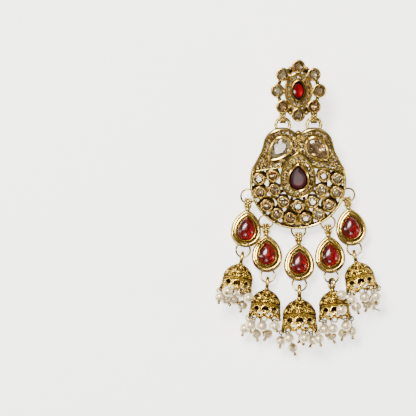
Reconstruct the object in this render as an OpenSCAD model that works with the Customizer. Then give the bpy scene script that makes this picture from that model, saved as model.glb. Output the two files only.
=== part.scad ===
// One chandbali earring, lying on its back on a table with its ear post down.
// The tip of the post is at the origin, +Z is the way the stud faces, and +Y is the top.
// Hanging pieces are drawn as worn, with the point they hang from at their own origin,
// -Z down and -Y to the front, and are then laid on the table.

/* [Stud] */
// Length of the ear post behind the stud
post_length = 9.6; // [9:0.1:10.4]
// Radius of the ear post
post_radius = 0.45; // [0.35:0.05:0.6]
// Half width of the stud's oval plate
plate_half_width = 4.15; // [4:0.05:4.3]
// Half height of the stud's oval plate
plate_half_height = 5.15; // [5:0.05:5.3]
// Thickness of the stud's oval plate
plate_thickness = 1.3; // [1.1:0.1:1.5]
// Half width of the ring of petals
petal_ring_width = 6.0; // [5.9:0.05:6.15]
// Half height of the ring of petals
petal_ring_height = 6.95; // [6.9:0.05:7.05]
// Outer radius of a petal's cup
petal_cup = 1.98; // [1.9:0.02:2.04]
// Radius of a petal's stone
petal_stone = 1.38; // [1.3:0.01:1.42]
// Height of a petal's cup
petal_height = 2.2; // [2:0.1:2.6]
// Half width of the stud's oval stone
oval_half_width = 1.7; // [1.5:0.05:1.75]
// Half height of the stud's oval stone
oval_half_height = 2.7; // [2.5:0.05:2.75]
// Wall of the oval stone's bezel
oval_bezel = 0.35; // [0.25:0.05:0.4]
// Number of small stones round the oval stone
stud_pave_count = 14; // [12:1:14]

/* [Body] */
// Slope of the crescent body as it lies
lean = 14; // [13:0.5:14.5]
// Distance of the hinge line below the stud's centre
hinge_drop = 9.85; // [9.8:0.05:9.95]
// Half distance between the two hinge eyelets
eyelet_spread = 4.5; // [4.3:0.1:4.7]
// Radius of an eyelet to the middle of its wire
eyelet_radius = 1.98; // [1.9:0.02:2.1]
// Radius of an eyelet's wire
eyelet_wire = 0.37; // [0.3:0.01:0.4]
// Radius of the crescent disc
disc_radius = 14.0; // [13.9:0.05:14.2]
// Distance of the disc's centre below the hinge line
disc_drop = 16.85; // [16.7:0.05:17]
// Width of the disc's rim
rim_width = 0.85; // [0.7:0.05:0.95]
// Height of the disc's rim
rim_height = 1.6; // [1.4:0.1:1.9]
// Thickness of the open web behind the cups
web_thickness = 0.8; // [0.6:0.1:1]
// Radius of the top lobe of a wing
lobe_radius = 5.6; // [5.5:0.05:5.7]
// Thickness of a wing
wing_thickness = 1.5; // [1.3:0.1:1.7]
// Width of the raised border of a wing
border_width = 0.45; // [0.35:0.05:0.5]
// Height of the raised border above the wing
border_height = 0.4; // [0.3:0.05:0.5]
// Outer radius of a round stone's cup
cup_radius = 1.9; // [1.8:0.02:1.94]
// Height of a round stone's cup
cup_height = 2.6; // [2.3:0.1:3]
// Radius of a round stone
round_stone = 1.375; // [1.25:0.025:1.425]
// Half width of the pear stone in the middle
pear_radius = 2.65; // [2.55:0.05:2.75]
// Length of the pear stone in the middle
pear_length = 7.3; // [7.2:0.05:7.4]
// Wall of the middle stone's bezel
pear_bezel = 0.5; // [0.4:0.05:0.55]
// Half width of the halo round the middle stone
halo_radius = 5.25; // [5.15:0.05:5.3]
// Length of the halo
halo_length = 13.8; // [13.7:0.05:13.9]
// Number of small stones in the halo
halo_count = 20; // [18:1:20]
// Half width of a wing's pear stone
wing_stone_radius = 2.4; // [2.3:0.05:2.45]
// Length of a wing's pear stone
wing_stone_length = 7.4; // [7.2:0.05:7.5]
// Wall of a wing stone's bezel
wing_bezel = 0.5; // [0.4:0.05:0.55]
// Radius of the small stones
pave_stone = 0.56; // [0.5:0.01:0.58]

/* [Drops] */
// Half width of a teardrop
drop_radius = 4.4; // [4.2:0.05:4.5]
// Length of a teardrop
drop_length = 11.0; // [10.8:0.1:11.2]
// Thickness of a teardrop's setting
drop_thickness = 2.6; // [2.4:0.1:3]
// Half width of a teardrop's red stone
drop_stone_radius = 2.55; // [2.4:0.05:2.7]
// Length of a teardrop's red stone
drop_stone_length = 6.9; // [6.6:0.1:7]
// Height of a red stone above its bezel
drop_stone_dome = 1.1; // [0.9:0.1:1.4]
// Wall of a teardrop's inner bezel
drop_bezel = 0.4; // [0.3:0.05:0.45]
// Distance from a drop's ring to the tip of its teardrop
drop_neck = 1.9; // [1.8:0.05:2]

/* [Rings] */
// Radius of a jump ring to the middle of its wire
ring_radius = 2.05; // [2:0.01:2.1]
// Radius of a jump ring's wire
ring_wire = 0.27; // [0.22:0.01:0.28]
// Radius of a soldered eye to the middle of its wire
eye_radius = 0.85; // [0.82:0.01:0.9]
// Radius of a soldered eye's wire
eye_wire = 0.28; // [0.24:0.01:0.3]
// Radius of the hole through a granulated knob
knob_hole = 0.65; // [0.62:0.01:0.7]
// Radius of a grain of the knobs and lugs
grain = 0.42; // [0.38:0.01:0.44]

/* [Bells] */
// Radius of a bell's dome
dome_radius = 4.3; // [4.2:0.05:4.4]
// Height of a bell's dome
dome_height = 4.6; // [4.4:0.05:4.8]
// Radius of a bell's hem
hem_radius = 5.1; // [5:0.05:5.2]
// Height of a bell without its loop
bell_height = 8.5; // [8.3:0.05:8.7]
// Wall of a bell
bell_wall = 0.6; // [0.5:0.05:0.65]
// Number of arches round a bell
arches = 9; // [8:1:10]
// Radius of an arch
arch_radius = 0.72; // [0.6:0.02:0.8]
// Radius of a bell's loop to the middle of its wire
loop_radius = 1.35; // [1.32:0.01:1.4]
// Radius of a bell's loop wire
loop_wire = 0.5; // [0.4:0.01:0.52]
// How much larger the middle bell is than the others
middle_scale = 1.12; // [1.1:0.01:1.13]

/* [Pearls] */
// Radius of a pearl
pearl_radius = 1.5; // [1.4:0.02:1.54]
// Radius of a pearl's pin
pin_wire = 0.2; // [0.16:0.01:0.22]
// Bare length of a pin between its eye and its pearl
pin_neck = 0.4; // [0.3:0.05:0.5]
// Radius of the ball at a pin's end
pin_ball = 0.45; // [0.4:0.01:0.5]
// Radius of a pin's eye to the middle of its wire
pin_eye = 0.66; // [0.65:0.01:0.68]

/* [Clearances] */
// Gap between a stone and its seat
seat_gap = 0.05; // [0.03:0.01:0.07]
// Gap between a pearl and its pin
bore_gap = 0.1; // [0.08:0.01:0.12]
// Height of the bells above the table
table_gap = 0.04; // [0.02:0.01:0.05]

/* [Hidden] */
$fn = 48;
round_facets = 12;
pave_facets = 8;
stud_floor = 0.4;
petal_angles = [0, 42, 90, 138, 180, 222, 270, 318];
accent_angles = [67, 113, 247, 293];
lug_radius = 1.15;
lug_grain = 0.36;
hinge_height = post_length + 0.75;
lug_line = hinge_drop - eyelet_radius * cos(lean);
lug_height = hinge_height + eyelet_radius * sin(lean);
body_back = 0.4;
pocket = 0.95;

// round stones of the body: distance from the middle line and distance below the hinge line
row_top = [[11.4, 15.6], [7.4, 14.67]];
row_second = [[11.1, 19.6], [6.9, 18.9]];
row_third = [[9.1, 23.55], [4.3, 22.45], [0, 23.75]];
row_bottom = [[6.0, 26.1], [2.25, 27.45]];

// wing stone: distance of its round end from the middle line, below the hinge line, and turn
wing_place = [4.74, 5.72];
wing_turn = 41;
lobe_place = [4.6, 6.4];
skirt = [
    [0, 5.0],
    [9.95, 5.2],
    [10.8, 8.0],
    [13.3, 12.9],
    [13.0, 13.75],
    [3.0, 12.4],
    [0, 11.0]
];
// small stones of a wing's inner row: distance from the middle line, below the hinge line
inner_row = [
    [1.0, 4.75],
    [1.02, 6.1],
    [1.62, 7.4],
    [2.55, 8.5],
    [3.5, 9.6],
    [4.45, 10.7],
    [5.75, 11.35],
    [7.15, 11.85],
    [8.55, 12.15],
    [9.95, 12.4],
    [11.4, 12.55]
];
// small stones of a wing's outer row on the lobe, as angles, then down the skirt
lobe_row = [128, 110, 92, 74, 56, 38, 20, 2];
skirt_row = [[9.4, 7.75], [10.05, 9.0], [10.65, 10.25]];

// chain of each drop, left to right:
// angle of its ring on the disc, reach of its eye in from the rim, roll and slope of the ring,
// slope and heading of the teardrop, heading and roll of the lower ring,
// heading of the bell's loop and of the bell, turn of the loop, size of the bell
chain_angle = [-72, -37, 1, 35, 73];
eye_reach = [0.8, 0.7, 1.2, 0.7, 0.8];
chain_roll = [-8, 0, 0, 0, 14];
chain_slope = [4, 10, 4.5, 10, 14];
drop_slope = [-7, -11, -12, -11, -7];
drop_heading = [-4, 2, 1, 4, 7];
low_heading = [-17, 3, 0, 5, 14];
low_roll = [0, 0, 0, 10, 0];
loop_heading = [-9, -3, 0, 3, 4];
bell_heading = [-11, -5, 0, 5, 12];
loop_turn = [0, 0, 0, 30, 0];
bell_size = [1, 1, middle_scale, 1, 1];

// pearls of each bell: number of the hem's lobe, swing outwards, swing sideways, longer neck
pearl_tables = [
    [
        [6, 66, 6, 0], [8, -92, -4, 0.5], [7, 63, 15, 1.7], [5, 11, 17, 0],
        [3, -62, -17, 1.4], [4, -46, 10, 1], [1, -11, -2, 0]
    ],
    [
        [5, -2, 7, 0], [6, -36, 7, 0.6], [7, 37, 12, 0.9], [4, 14, -1, 0.6],
        [3, -17, -5, 1.7], [1, -24, 9, 1.8], [8, -30, 0, 0]
    ],
    [
        [5, -37, 0, 0], [1, -59, 9, 0.9], [0, -28, -1, 0], [4, 3, 14, 0],
        [3, -16, -12, 1.8], [8, 19, 3, 0], [7, -30, 0, 0]
    ],
    [
        [5, -19, -6, 0.2], [6, -19, 5, 0.6], [1, -18, 5, 1.3], [0, -1, 1, 1],
        [3, -13, -17, 1.8], [7, 129, -11, 0], [8, -30, 0, 0]
    ],
    [
        [5, 80, 6, 0], [6, 47, -14, 1.8], [7, -50, -10, 0.7], [0, -25, 0, 1.5],
        [3, -7, -3, 0.9], [1, -28, 17, 1.8], [8, -12, -6, 0]
    ]
];

stud_top = post_length + plate_thickness;
drop_back = knob_hole + 0.9;
drop_front = drop_thickness - drop_back;
eye_depth = 0.8;
eye_inset = 1.35;
drop_centre = drop_neck + drop_length - drop_radius;
eye_below = drop_neck + drop_length - eye_inset;
loop_drop = loop_radius + loop_wire + 0.35;
hem_below = loop_drop + bell_height;
belly_below = loop_drop + dome_height;
belly_radius = dome_radius + 0.1;
knob_shift = ring_radius - 0.1;
loop_shift = ring_radius + 0.15;
loop_lift = 0.35;
pin_drop = pin_eye + pin_wire + pin_neck + pearl_radius;
lobe_step = 360 / arches;
web_depth = 0.3;
hem_hole = 0.45;
cut_start = dome_radius - bell_wall - 0.2;
hem_middle = hem_radius - bell_wall / 2 - 0.045;

function rx(v, a) = [v.x, v.y * cos(a) - v.z * sin(a), v.y * sin(a) + v.z * cos(a)];
function ry(v, a) = [v.x * cos(a) + v.z * sin(a), v.y, v.z * cos(a) - v.x * sin(a)];
function rz(v, a) = [v.x * cos(a) - v.y * sin(a), v.x * sin(a) + v.y * cos(a), v.z];
// a vector of a hanging piece after it is laid with a heading and a slope
function laid(v, heading, slope) = rz(rx(v, slope - 90), heading);
// a point of the body's own plane, below the hinge line, as it lies
function on_body(v) = [0, -hinge_drop, hinge_height] + rx([v.x, v.y, v.z - body_back], lean);

function eye_point(i) = on_body([
    (disc_radius - eye_reach[i]) * sin(chain_angle[i]),
    -disc_drop - (disc_radius - eye_reach[i]) * cos(chain_angle[i]),
    -eye_depth
]);
function ring_way(v, i) = rx(ry(v, chain_roll[i]), chain_slope[i]);
function ring_middle(i) = eye_point(i)
    + ring_way(ring_radius * [sin(chain_angle[i]), -cos(chain_angle[i]), 0], i);
function knob_point(i) = ring_middle(i) + ring_way([0, -knob_shift, 0], i);
function low_eye(i) = knob_point(i)
    + laid([0, drop_back + eye_depth, -eye_below], drop_heading[i], drop_slope[i]);
// slope of a bell that rests on its belly and its hem
bell_slope = -atan2(hem_radius - belly_radius, hem_below - belly_below);
function loop_height(i) = table_gap
    + bell_size[i] * (belly_radius * cos(bell_slope) + belly_below * sin(bell_slope));
// slope of a lower ring that reaches its bell's loop
function low_slope(i) = -asin(
    (loop_height(i) - loop_lift * bell_size[i] - low_eye(i).z) / (ring_radius + loop_shift)
);
function low_middle(i) = low_eye(i)
    + ring_radius * laid([0, 0, -1], low_heading[i], low_slope(i));
function loop_point(i) =
    let (p = low_middle(i) + loop_shift * laid([0, 0, -1], loop_heading[i], low_slope(i)))
    [p.x, p.y, loop_height(i)];

// big radius of the sides of a pear with half width r and a tip t above its round centre
function pear_side(r, t) = (t * t + r * r) / (2 * r);
// point of a pear's edge at a distance s along it from its lowest point, to the right
function pear_edge(r, t, s) =
    let (big = pear_side(r, t), quarter = PI * r / 2)
    s < quarter
        ? [r * sin(s / r * 180 / PI), -r * cos(s / r * 180 / PI)]
        : let (a = (s - quarter) / big * 180 / PI) [r - big + big * cos(a), big * sin(a)];
function pear_half(r, t) =
    let (big = pear_side(r, t))
    PI * r / 2 + big * asin(t / big) * PI / 180;
// corners of a pear, n on each side
function pear_corners(r, t, n) = [
    for (k = [0 : n]) pear_edge(r, t, pear_half(r, t) * k / n),
    for (k = [n - 1 : -1 : 1])
        let (p = pear_edge(r, t, pear_half(r, t) * k / n)) [-p.x, p.y]
];
function oval_point(a, b, angle) = [a * cos(angle), b * sin(angle)];

module wire_ring(radius, wire) {
    rotate_extrude()
        translate([radius, 0])
            circle(wire);
}

// pear outline grown by g, its round centre at the origin and its tip up
module pear(r, t, g = 0) {
    big = pear_side(r, t);
    circle(r + g);
    intersection() {
        translate([big - r, 0])
            circle(big + g);
        translate([r - big, 0])
            circle(big + g);
        translate([-2 * r, 0])
            square([4 * r, 2 * t + 2]);
    }
}

// oval of four arcs with half width a and half height b
module oval(a, b) {
    small = a * a / b;
    reach = b - small;
    big = (a * a + reach * reach - small * small) / (2 * (a - small));
    for (side = [-1, 1])
        translate([0, side * reach])
            circle(small);
    intersection() {
        translate([big - a, 0])
            circle(big);
        translate([a - big, 0])
            circle(big);
        square([4 * a, 2 * reach * big / (big - small) - 0.4], center = true);
    }
}

// round cut stone with its girdle at z = 0
module cut_round(r, facets) {
    cylinder(h = 0.38 * r, r1 = r, r2 = 0.6 * r, $fn = facets);
    translate([0, 0, -0.55 * r])
        cylinder(h = 0.55 * r, r1 = 0.3 * r, r2 = r, $fn = facets);
}

// pear cut stone with its girdle at z = 0
module cut_pear(r, t, crown, depth) {
    shift = 0.18 * t;
    translate([0, shift, 0])
        linear_extrude(height = crown, scale = 0.64)
            translate([0, -shift])
                polygon(pear_corners(r, t, 7));
    translate([0, shift, 0])
        mirror([0, 0, 1])
            linear_extrude(height = depth, scale = 0.45)
                translate([0, -shift])
                    polygon(pear_corners(r, t, 7));
}

// band of grains round the X axis with a clean hole
module grain_ring(middle, size, hole, rows, count) {
    rotate([0, 90, 0])
        difference() {
            union() {
                translate([0, 0, -rows])
                    cylinder(h = 2 * rows, r = middle + 0.4 * size);
                for (row = rows > 0.5 ? [-1, 0, 1] : [-1, 1], k = [0 : count - 1])
                    rotate([0, 0, (k + (row == 0 ? 0.5 : 0)) * 360 / count])
                        translate([middle, 0, row * rows])
                            sphere(size);
            }
            cylinder(h = 4 * (rows + size), r = hole, center = true);
        }
}

// places what stands on a petal
module at_petal(k) {
    angle = petal_angles[k];
    p = oval_point(petal_ring_width, petal_ring_height, angle);
    translate([p.x, p.y, post_length])
        children();
}

module stud_frame() {
    color("#a8874a") {
        difference() {
            union() {
                difference() {
                    translate([0, 0, post_length])
                        linear_extrude(plate_thickness + 0.3)
                            oval(plate_half_width, plate_half_height);
                    translate([0, 0, stud_top])
                        linear_extrude(1)
                            oval(plate_half_width - 0.35, plate_half_height - 0.35);
                }
                translate([0, 0, post_length + 0.1])
                    linear_extrude(0.7)
                        difference() {
                            oval(petal_ring_width + 0.4, petal_ring_height + 0.4);
                            oval(petal_ring_width - 0.7, petal_ring_height - 0.7);
                        }
                translate([0, 0, post_length])
                    linear_extrude(plate_thickness + 0.9)
                        oval(oval_half_width + oval_bezel, oval_half_height + oval_bezel);
                for (k = [0 : 7])
                    at_petal(k)
                        cylinder(h = petal_height, r = petal_cup);
                for (angle = [0, 90, 180, 270])
                    rotate([0, 0, angle])
                        translate([3.4, -0.9, post_length + 0.2])
                            cube([angle % 180 == 0 ? 1.6 : 2.6, 1.8, 0.9]);
                for (angle = accent_angles) {
                    p = oval_point(petal_ring_width, petal_ring_height, angle);
                    translate([p.x, p.y, post_length + 0.3])
                        cylinder(h = 1.2, r = 0.5);
                    translate([p.x, p.y, post_length + 1.4])
                        sphere(0.65);
                }
                cylinder(h = post_length + stud_floor, r = post_radius);
                for (side = [-1, 1])
                    translate([side * eyelet_spread, -lug_line, lug_height])
                        grain_ring(lug_radius, lug_grain, 0.8, 0.42, 10);
                for (side = [-1, 1])
                    translate([side * eyelet_spread, -lug_line + lug_radius, lug_height])
                        rotate([-90, 0, 0])
                            cylinder(h = 1.2, r = 0.5);
            }
            for (k = [0 : 7])
                at_petal(k)
                    translate([0, 0, pocket])
                        cylinder(h = petal_height, r = petal_stone + seat_gap);
            translate([0, 0, post_length + pocket])
                linear_extrude(4)
                    oval(oval_half_width + seat_gap, oval_half_height + seat_gap);
            stud_pave_places()
                translate([0, 0, -0.4])
                    cylinder(h = 1, r = pave_stone + seat_gap);
        }
    }
}

module stud_pave_places() {
    a = (oval_half_width + oval_bezel + plate_half_width - 0.35) / 2;
    b = (oval_half_height + oval_bezel + plate_half_height - 0.35) / 2;
    for (k = [0 : stud_pave_count - 1]) {
        p = oval_point(a, b, (k + 0.5) * 360 / stud_pave_count);
        translate([p.x, p.y, stud_top])
            children();
    }
}

module stud_oval_stone() {
    color("#a5101c")
        translate([0, 0, post_length + plate_thickness + 0.6]) {
            oval_prism(0.65, 0.62);
            mirror([0, 0, 1])
                oval_prism(0.75, 0.5);
        }
}

module oval_prism(h, top) {
    linear_extrude(height = h, scale = top)
        polygon([
            for (k = [0 : 15])
                oval_point(oval_half_width - 0.03, oval_half_height - 0.03, k * 22.5)
        ]);
}

module petal_stone_at(k) {
    color("#d9c690")
        at_petal(k)
            translate([0, 0, pocket + 0.55 * petal_stone + seat_gap])
                cut_round(petal_stone, round_facets);
}

module petal_stone_0() {
    petal_stone_at(0);
}

module petal_stone_1() {
    petal_stone_at(1);
}

module petal_stone_2() {
    petal_stone_at(2);
}

module petal_stone_3() {
    petal_stone_at(3);
}

module petal_stone_4() {
    petal_stone_at(4);
}

module petal_stone_5() {
    petal_stone_at(5);
}

module petal_stone_6() {
    petal_stone_at(6);
}

module petal_stone_7() {
    petal_stone_at(7);
}

module stud_pave() {
    color("#e6d9b0")
        stud_pave_places()
            translate([0, 0, -0.4 + 0.55 * pave_stone + seat_gap])
                cut_round(pave_stone, pave_facets);
}

// puts the body's own plane on its hinge line, with its back down
module at_body() {
    translate([0, -hinge_drop, hinge_height])
        rotate([lean, 0, 0])
            translate([0, 0, -body_back])
                children();
}

module on_disc() {
    translate([0, -disc_drop, 0])
        children();
}

module at_round(rows) {
    for (p = rows, side = p.x == 0 ? [1] : [-1, 1])
        translate([side * p.x, -p.y, 0])
            children();
}

// one wing's outline grown by g, on the right
module wing_outline(g) {
    translate([lobe_place.x, -lobe_place.y])
        circle(lobe_radius + g);
    polygon([
        for (p = skirt)
            [p.x + (p.x > 5 ? g : 0), -p.y - (p.y > 11 ? g : 0)]
    ]);
}

module halo_place() {
    translate([0, -disc_drop + 0.75, 0])
        children();
}

module wing_stone_place() {
    translate([wing_place.x, -wing_place.y, 0])
        rotate([0, 0, wing_turn + 180])
            children();
}

module wing_pave_places() {
    for (p = inner_row)
        translate([p.x, -p.y, wing_thickness])
            children();
    for (a = lobe_row)
        translate([lobe_place.x, -lobe_place.y, wing_thickness])
            rotate([0, 0, a])
                translate([lobe_radius - border_width - 0.15 - pave_stone, 0, 0])
                    children();
    for (p = skirt_row)
        translate([p.x, -p.y, wing_thickness])
            children();
}

halo_tip = halo_length - halo_radius;
pear_tip = pear_length - pear_radius;
wing_tip = wing_stone_length - wing_stone_radius;

module halo_pave_places() {
    r = (halo_radius - 0.4 + pear_radius + pear_bezel) / 2;
    t = (halo_tip - 0.4 + pear_tip + pear_bezel) / 2 + 0.15;
    half = pear_half(r, t);
    for (k = [0 : halo_count - 1]) {
        s = (k + 0.5) * 2 * half / halo_count;
        p = pear_edge(r, t, s < half ? s : 2 * half - s);
        halo_place()
            translate([s < half ? p.x : -p.x, p.y, wing_thickness + 0.4])
                children();
    }
}

module body_frame() {
    color("#a8874a")
        at_body()
            difference() {
                union() {
                    body_web();
                    body_wings();
                    body_settings();
                    body_eyes();
                }
                body_pockets();
            }
}

module body_web() {
    on_disc()
        linear_extrude(rim_height)
            intersection() {
                difference() {
                    circle(disc_radius);
                    circle(disc_radius - rim_width);
                }
                translate([-2 * disc_radius, -2 * disc_radius])
                    square([4 * disc_radius, 2 * disc_radius + 4.4]);
            }
    linear_extrude(web_thickness) {
        on_disc()
            difference() {
                union() {
                    for (k = [0 : 8])
                        rotate([0, 0, -168 + k * 19.5])
                            translate([halo_radius - 0.5, -0.45])
                                square([disc_radius - halo_radius, 0.9]);
                    difference() {
                        circle(8.6);
                        circle(7.6);
                    }
                }
                translate([-2 * disc_radius, 3.4])
                    square(4 * disc_radius);
            }
    }
    linear_extrude(web_thickness) {
        for (side = [-1, 1]) {
            translate([side * row_top[0].x, -row_top[0].y])
                circle(cup_radius + 0.5);
            translate([side * row_top[1].x, -row_top[1].y])
                circle(cup_radius + 0.3);
            translate([side * row_third[0].x, -row_third[0].y])
                circle(cup_radius + 0.6);
            translate([side * row_second[0].x, -row_second[0].y])
                circle(cup_radius + 0.5);
            translate([side * row_bottom[1].x, -row_bottom[1].y])
                circle(cup_radius + 0.5);
        }
    }
}

module body_wings() {
    for (side = [0, 1])
        mirror([side, 0, 0]) {
            linear_extrude(wing_thickness)
                wing_outline(0);
            linear_extrude(wing_thickness + border_height)
                difference() {
                    wing_outline(0);
                    wing_outline(-border_width);
                }
        }
    translate([-0.3, -8.0, 0])
        cube([0.6, 5.2, wing_thickness + 0.5]);
    translate([0, -2.25, 1.1])
        sphere(0.8);
    translate([0, -2.25, 0])
        cylinder(h = 1.1, r = 0.6);
    for (side = [-1, 1])
        translate([side * eyelet_spread, 0, body_back])
            wire_ring(eyelet_radius, eyelet_wire);
}

module body_settings() {
    for (rows = [row_top, row_second, row_third, row_bottom])
        at_round(rows)
            cylinder(h = cup_height, r = cup_radius);
    halo_place() {
        linear_extrude(wing_thickness + 0.4)
            pear(halo_radius, halo_tip);
        linear_extrude(wing_thickness + 0.75)
            difference() {
                pear(halo_radius, halo_tip);
                pear(halo_radius, halo_tip, -0.35);
            }
        linear_extrude(wing_thickness + 1.6)
            pear(pear_radius, pear_tip, pear_bezel);
    }
    for (side = [0, 1])
        mirror([side, 0, 0])
            wing_stone_place()
                linear_extrude(wing_thickness + 1.5)
                    pear(wing_stone_radius, wing_tip, wing_bezel);
}

// soldered eyes behind the rim, one for each drop
module body_eyes() {
    on_disc()
        for (i = [0 : 4])
            rotate([0, 0, chain_angle[i]])
                translate([0, eye_reach[i] - disc_radius, 0]) {
                    translate([0, 0, -eye_depth])
                        rotate([0, 90, 0])
                            wire_ring(eye_radius, eye_wire);
                    translate([-0.6, 0.3 - eye_reach[i], 0])
                        cube([1.2, eye_reach[i] + 1.2, web_thickness]);
                }
}

module body_pockets() {
    for (rows = [row_top, row_second, row_third, row_bottom])
        at_round(rows)
            translate([0, 0, pocket])
                cylinder(h = cup_height, r = round_stone + seat_gap);
    halo_place()
        translate([0, 0, pocket])
            linear_extrude(4)
                pear(pear_radius, pear_tip, seat_gap);
    for (side = [0, 1])
        mirror([side, 0, 0]) {
            wing_stone_place()
                translate([0, 0, pocket])
                    linear_extrude(4)
                        pear(wing_stone_radius, wing_tip, seat_gap);
            wing_pave_places()
                translate([0, 0, -0.4])
                    cylinder(h = 2, r = pave_stone + seat_gap);
        }
    halo_pave_places()
        translate([0, 0, -0.4])
            cylinder(h = 2, r = pave_stone + seat_gap);
}

module middle_stone() {
    color("#5a0618")
        at_body()
            halo_place()
                translate([0, 0, pocket + 1.3 + seat_gap])
                    cut_pear(pear_radius, pear_tip, 0.9, 1.3);
}

module wing_stone_right() {
    color("#d8cdb0")
        at_body()
            wing_stone_place()
                translate([0, 0, pocket + 1.25 + seat_gap])
                    cut_pear(wing_stone_radius, wing_tip, 0.9, 1.25);
}

module wing_stone_left() {
    color("#d8cdb0")
        at_body()
            mirror([1, 0, 0])
                wing_stone_place()
                    translate([0, 0, pocket + 1.25 + seat_gap])
                        cut_pear(wing_stone_radius, wing_tip, 0.9, 1.25);
}

module round_stones(rows) {
    color("#d9c690")
        at_body()
            at_round(rows)
                translate([0, 0, pocket + 0.55 * round_stone + 0.55])
                    cut_round(round_stone, round_facets);
}

module stone_row_top() {
    round_stones(row_top);
}

module stone_row_second() {
    round_stones(row_second);
}

module stone_row_third() {
    round_stones(row_third);
}

module stone_row_bottom() {
    round_stones(row_bottom);
}

module halo_pave() {
    color("#e6d9b0")
        at_body()
            halo_pave_places()
                translate([0, 0, -0.4 + 0.55 * pave_stone + seat_gap])
                    cut_round(pave_stone, pave_facets);
}

module wing_pave() {
    wing_pave_places()
        translate([0, 0, -0.4 + 0.55 * pave_stone + seat_gap])
            cut_round(pave_stone, pave_facets);
}

module wing_pave_right() {
    color("#e6d9b0")
        at_body()
            wing_pave();
}

module wing_pave_left() {
    color("#e6d9b0")
        at_body()
            mirror([1, 0, 0])
                wing_pave();
}

// ring through the eye behind the rim and through a teardrop's knob
module upper_ring(i) {
    color("#c9a659")
        translate(ring_middle(i))
            rotate([chain_slope[i], 0, 0])
                rotate([0, chain_roll[i], 0])
                    wire_ring(ring_radius, ring_wire);
}

module upper_ring_0() {
    upper_ring(0);
}

module upper_ring_1() {
    upper_ring(1);
}

module upper_ring_2() {
    upper_ring(2);
}

module upper_ring_3() {
    upper_ring(3);
}

module upper_ring_4() {
    upper_ring(4);
}

// lays a hanging piece with its hanging point at p
module lay(p, heading, slope) {
    translate(p)
        rotate([0, 0, heading])
            rotate([slope - 90, 0, 0])
                children();
}

drop_tip = drop_length - drop_radius;
stone_tip = drop_stone_length - drop_stone_radius;
stone_rise = (stone_tip - drop_stone_radius) / 2;

// teardrop's outline in its own plane, its front towards -Y
module drop_plane(front) {
    translate([0, front, -drop_centre])
        rotate([90, 0, 0])
            children();
}

module teardrop(i) {
    color("#d8b45a")
        lay(knob_point(i), drop_heading[i], drop_slope[i])
            difference() {
                union() {
                    grain_ring(1.05, grain, knob_hole, 0.68, 8);
                    translate([0, 0, 0.3 - drop_neck])
                        sphere(0.75);
                    drop_plane(drop_back)
                        linear_extrude(drop_thickness - 0.5)
                            pear(drop_radius, drop_tip);
                    drop_plane(drop_back)
                        linear_extrude(drop_thickness)
                            pear(drop_radius, drop_tip, -0.35);
                    translate([0, drop_back + eye_depth, -eye_below])
                        rotate([0, 90, 0])
                            wire_ring(eye_radius, eye_wire);
                }
                drop_plane(-drop_front + 0.7)
                    linear_extrude(2)
                        difference() {
                            pear(drop_radius, drop_tip, -1.05);
                            pear(drop_stone_radius, stone_tip, drop_bezel);
                        }
                drop_plane(-drop_front + 1.2)
                    linear_extrude(3)
                        pear(drop_stone_radius, stone_tip, seat_gap);
                rotate([0, 90, 0])
                    cylinder(h = 4, r = knob_hole, center = true);
            }
}

module teardrop_0() {
    teardrop(0);
}

module teardrop_1() {
    teardrop(1);
}

module teardrop_2() {
    teardrop(2);
}

module teardrop_3() {
    teardrop(3);
}

module teardrop_4() {
    teardrop(4);
}

// pear cabochon: a pear prism cut by a big sphere
module drop_stone(i) {
    round_top = 7;
    color("#a80f14")
        lay(knob_point(i), drop_heading[i], drop_slope[i])
            intersection() {
                drop_plane(-drop_front + 1.2 - seat_gap)
                    linear_extrude(5)
                        pear(drop_stone_radius, stone_tip);
                translate([0, round_top - drop_front - drop_stone_dome, stone_rise - drop_centre])
                    sphere(round_top);
            }
}

module drop_stone_0() {
    drop_stone(0);
}

module drop_stone_1() {
    drop_stone(1);
}

module drop_stone_2() {
    drop_stone(2);
}

module drop_stone_3() {
    drop_stone(3);
}

module drop_stone_4() {
    drop_stone(4);
}

module lower_ring(i) {
    color("#c9a659")
        translate(low_middle(i))
            rotate([0, 0, low_heading[i]])
                rotate([low_slope(i), 0, 0])
                    rotate([0, low_roll[i], 0])
                        wire_ring(ring_radius, ring_wire);
}

module lower_ring_0() {
    lower_ring(0);
}

module lower_ring_1() {
    lower_ring(1);
}

module lower_ring_2() {
    lower_ring(2);
}

module lower_ring_3() {
    lower_ring(3);
}

module lower_ring_4() {
    lower_ring(4);
}

// turn of each bell that puts a lobe of its hem against the table
bell_turn = 90 - lobe_step * round(90 / lobe_step);

module at_bell(i) {
    lay(loop_point(i), bell_heading[i], bell_slope)
        scale(bell_size[i])
            children();
}

// hollow bell section, revolved: a round dome on a short wall, and a flaring skirt
module bell_section() {
    skirt_depth = bell_height - dome_height;
    waist_radius = dome_radius + 0.2 * (hem_radius - dome_radius);
    translate([0, dome_height - dome_radius])
        intersection() {
            difference() {
                circle(dome_radius);
                circle(dome_radius - bell_wall);
            }
            square(dome_radius);
        }
    polygon([
        [dome_radius - bell_wall, dome_height - dome_radius],
        [dome_radius, dome_height - dome_radius],
        [dome_radius, 0],
        [waist_radius, -0.45 * skirt_depth],
        [hem_radius, -skirt_depth],
        [hem_radius - bell_wall, -skirt_depth],
        [waist_radius - bell_wall, -0.45 * skirt_depth],
        [dome_radius - bell_wall, 0]
    ]);
    translate([dome_radius - 0.2, 0.15])
        circle(0.3);
}

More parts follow.
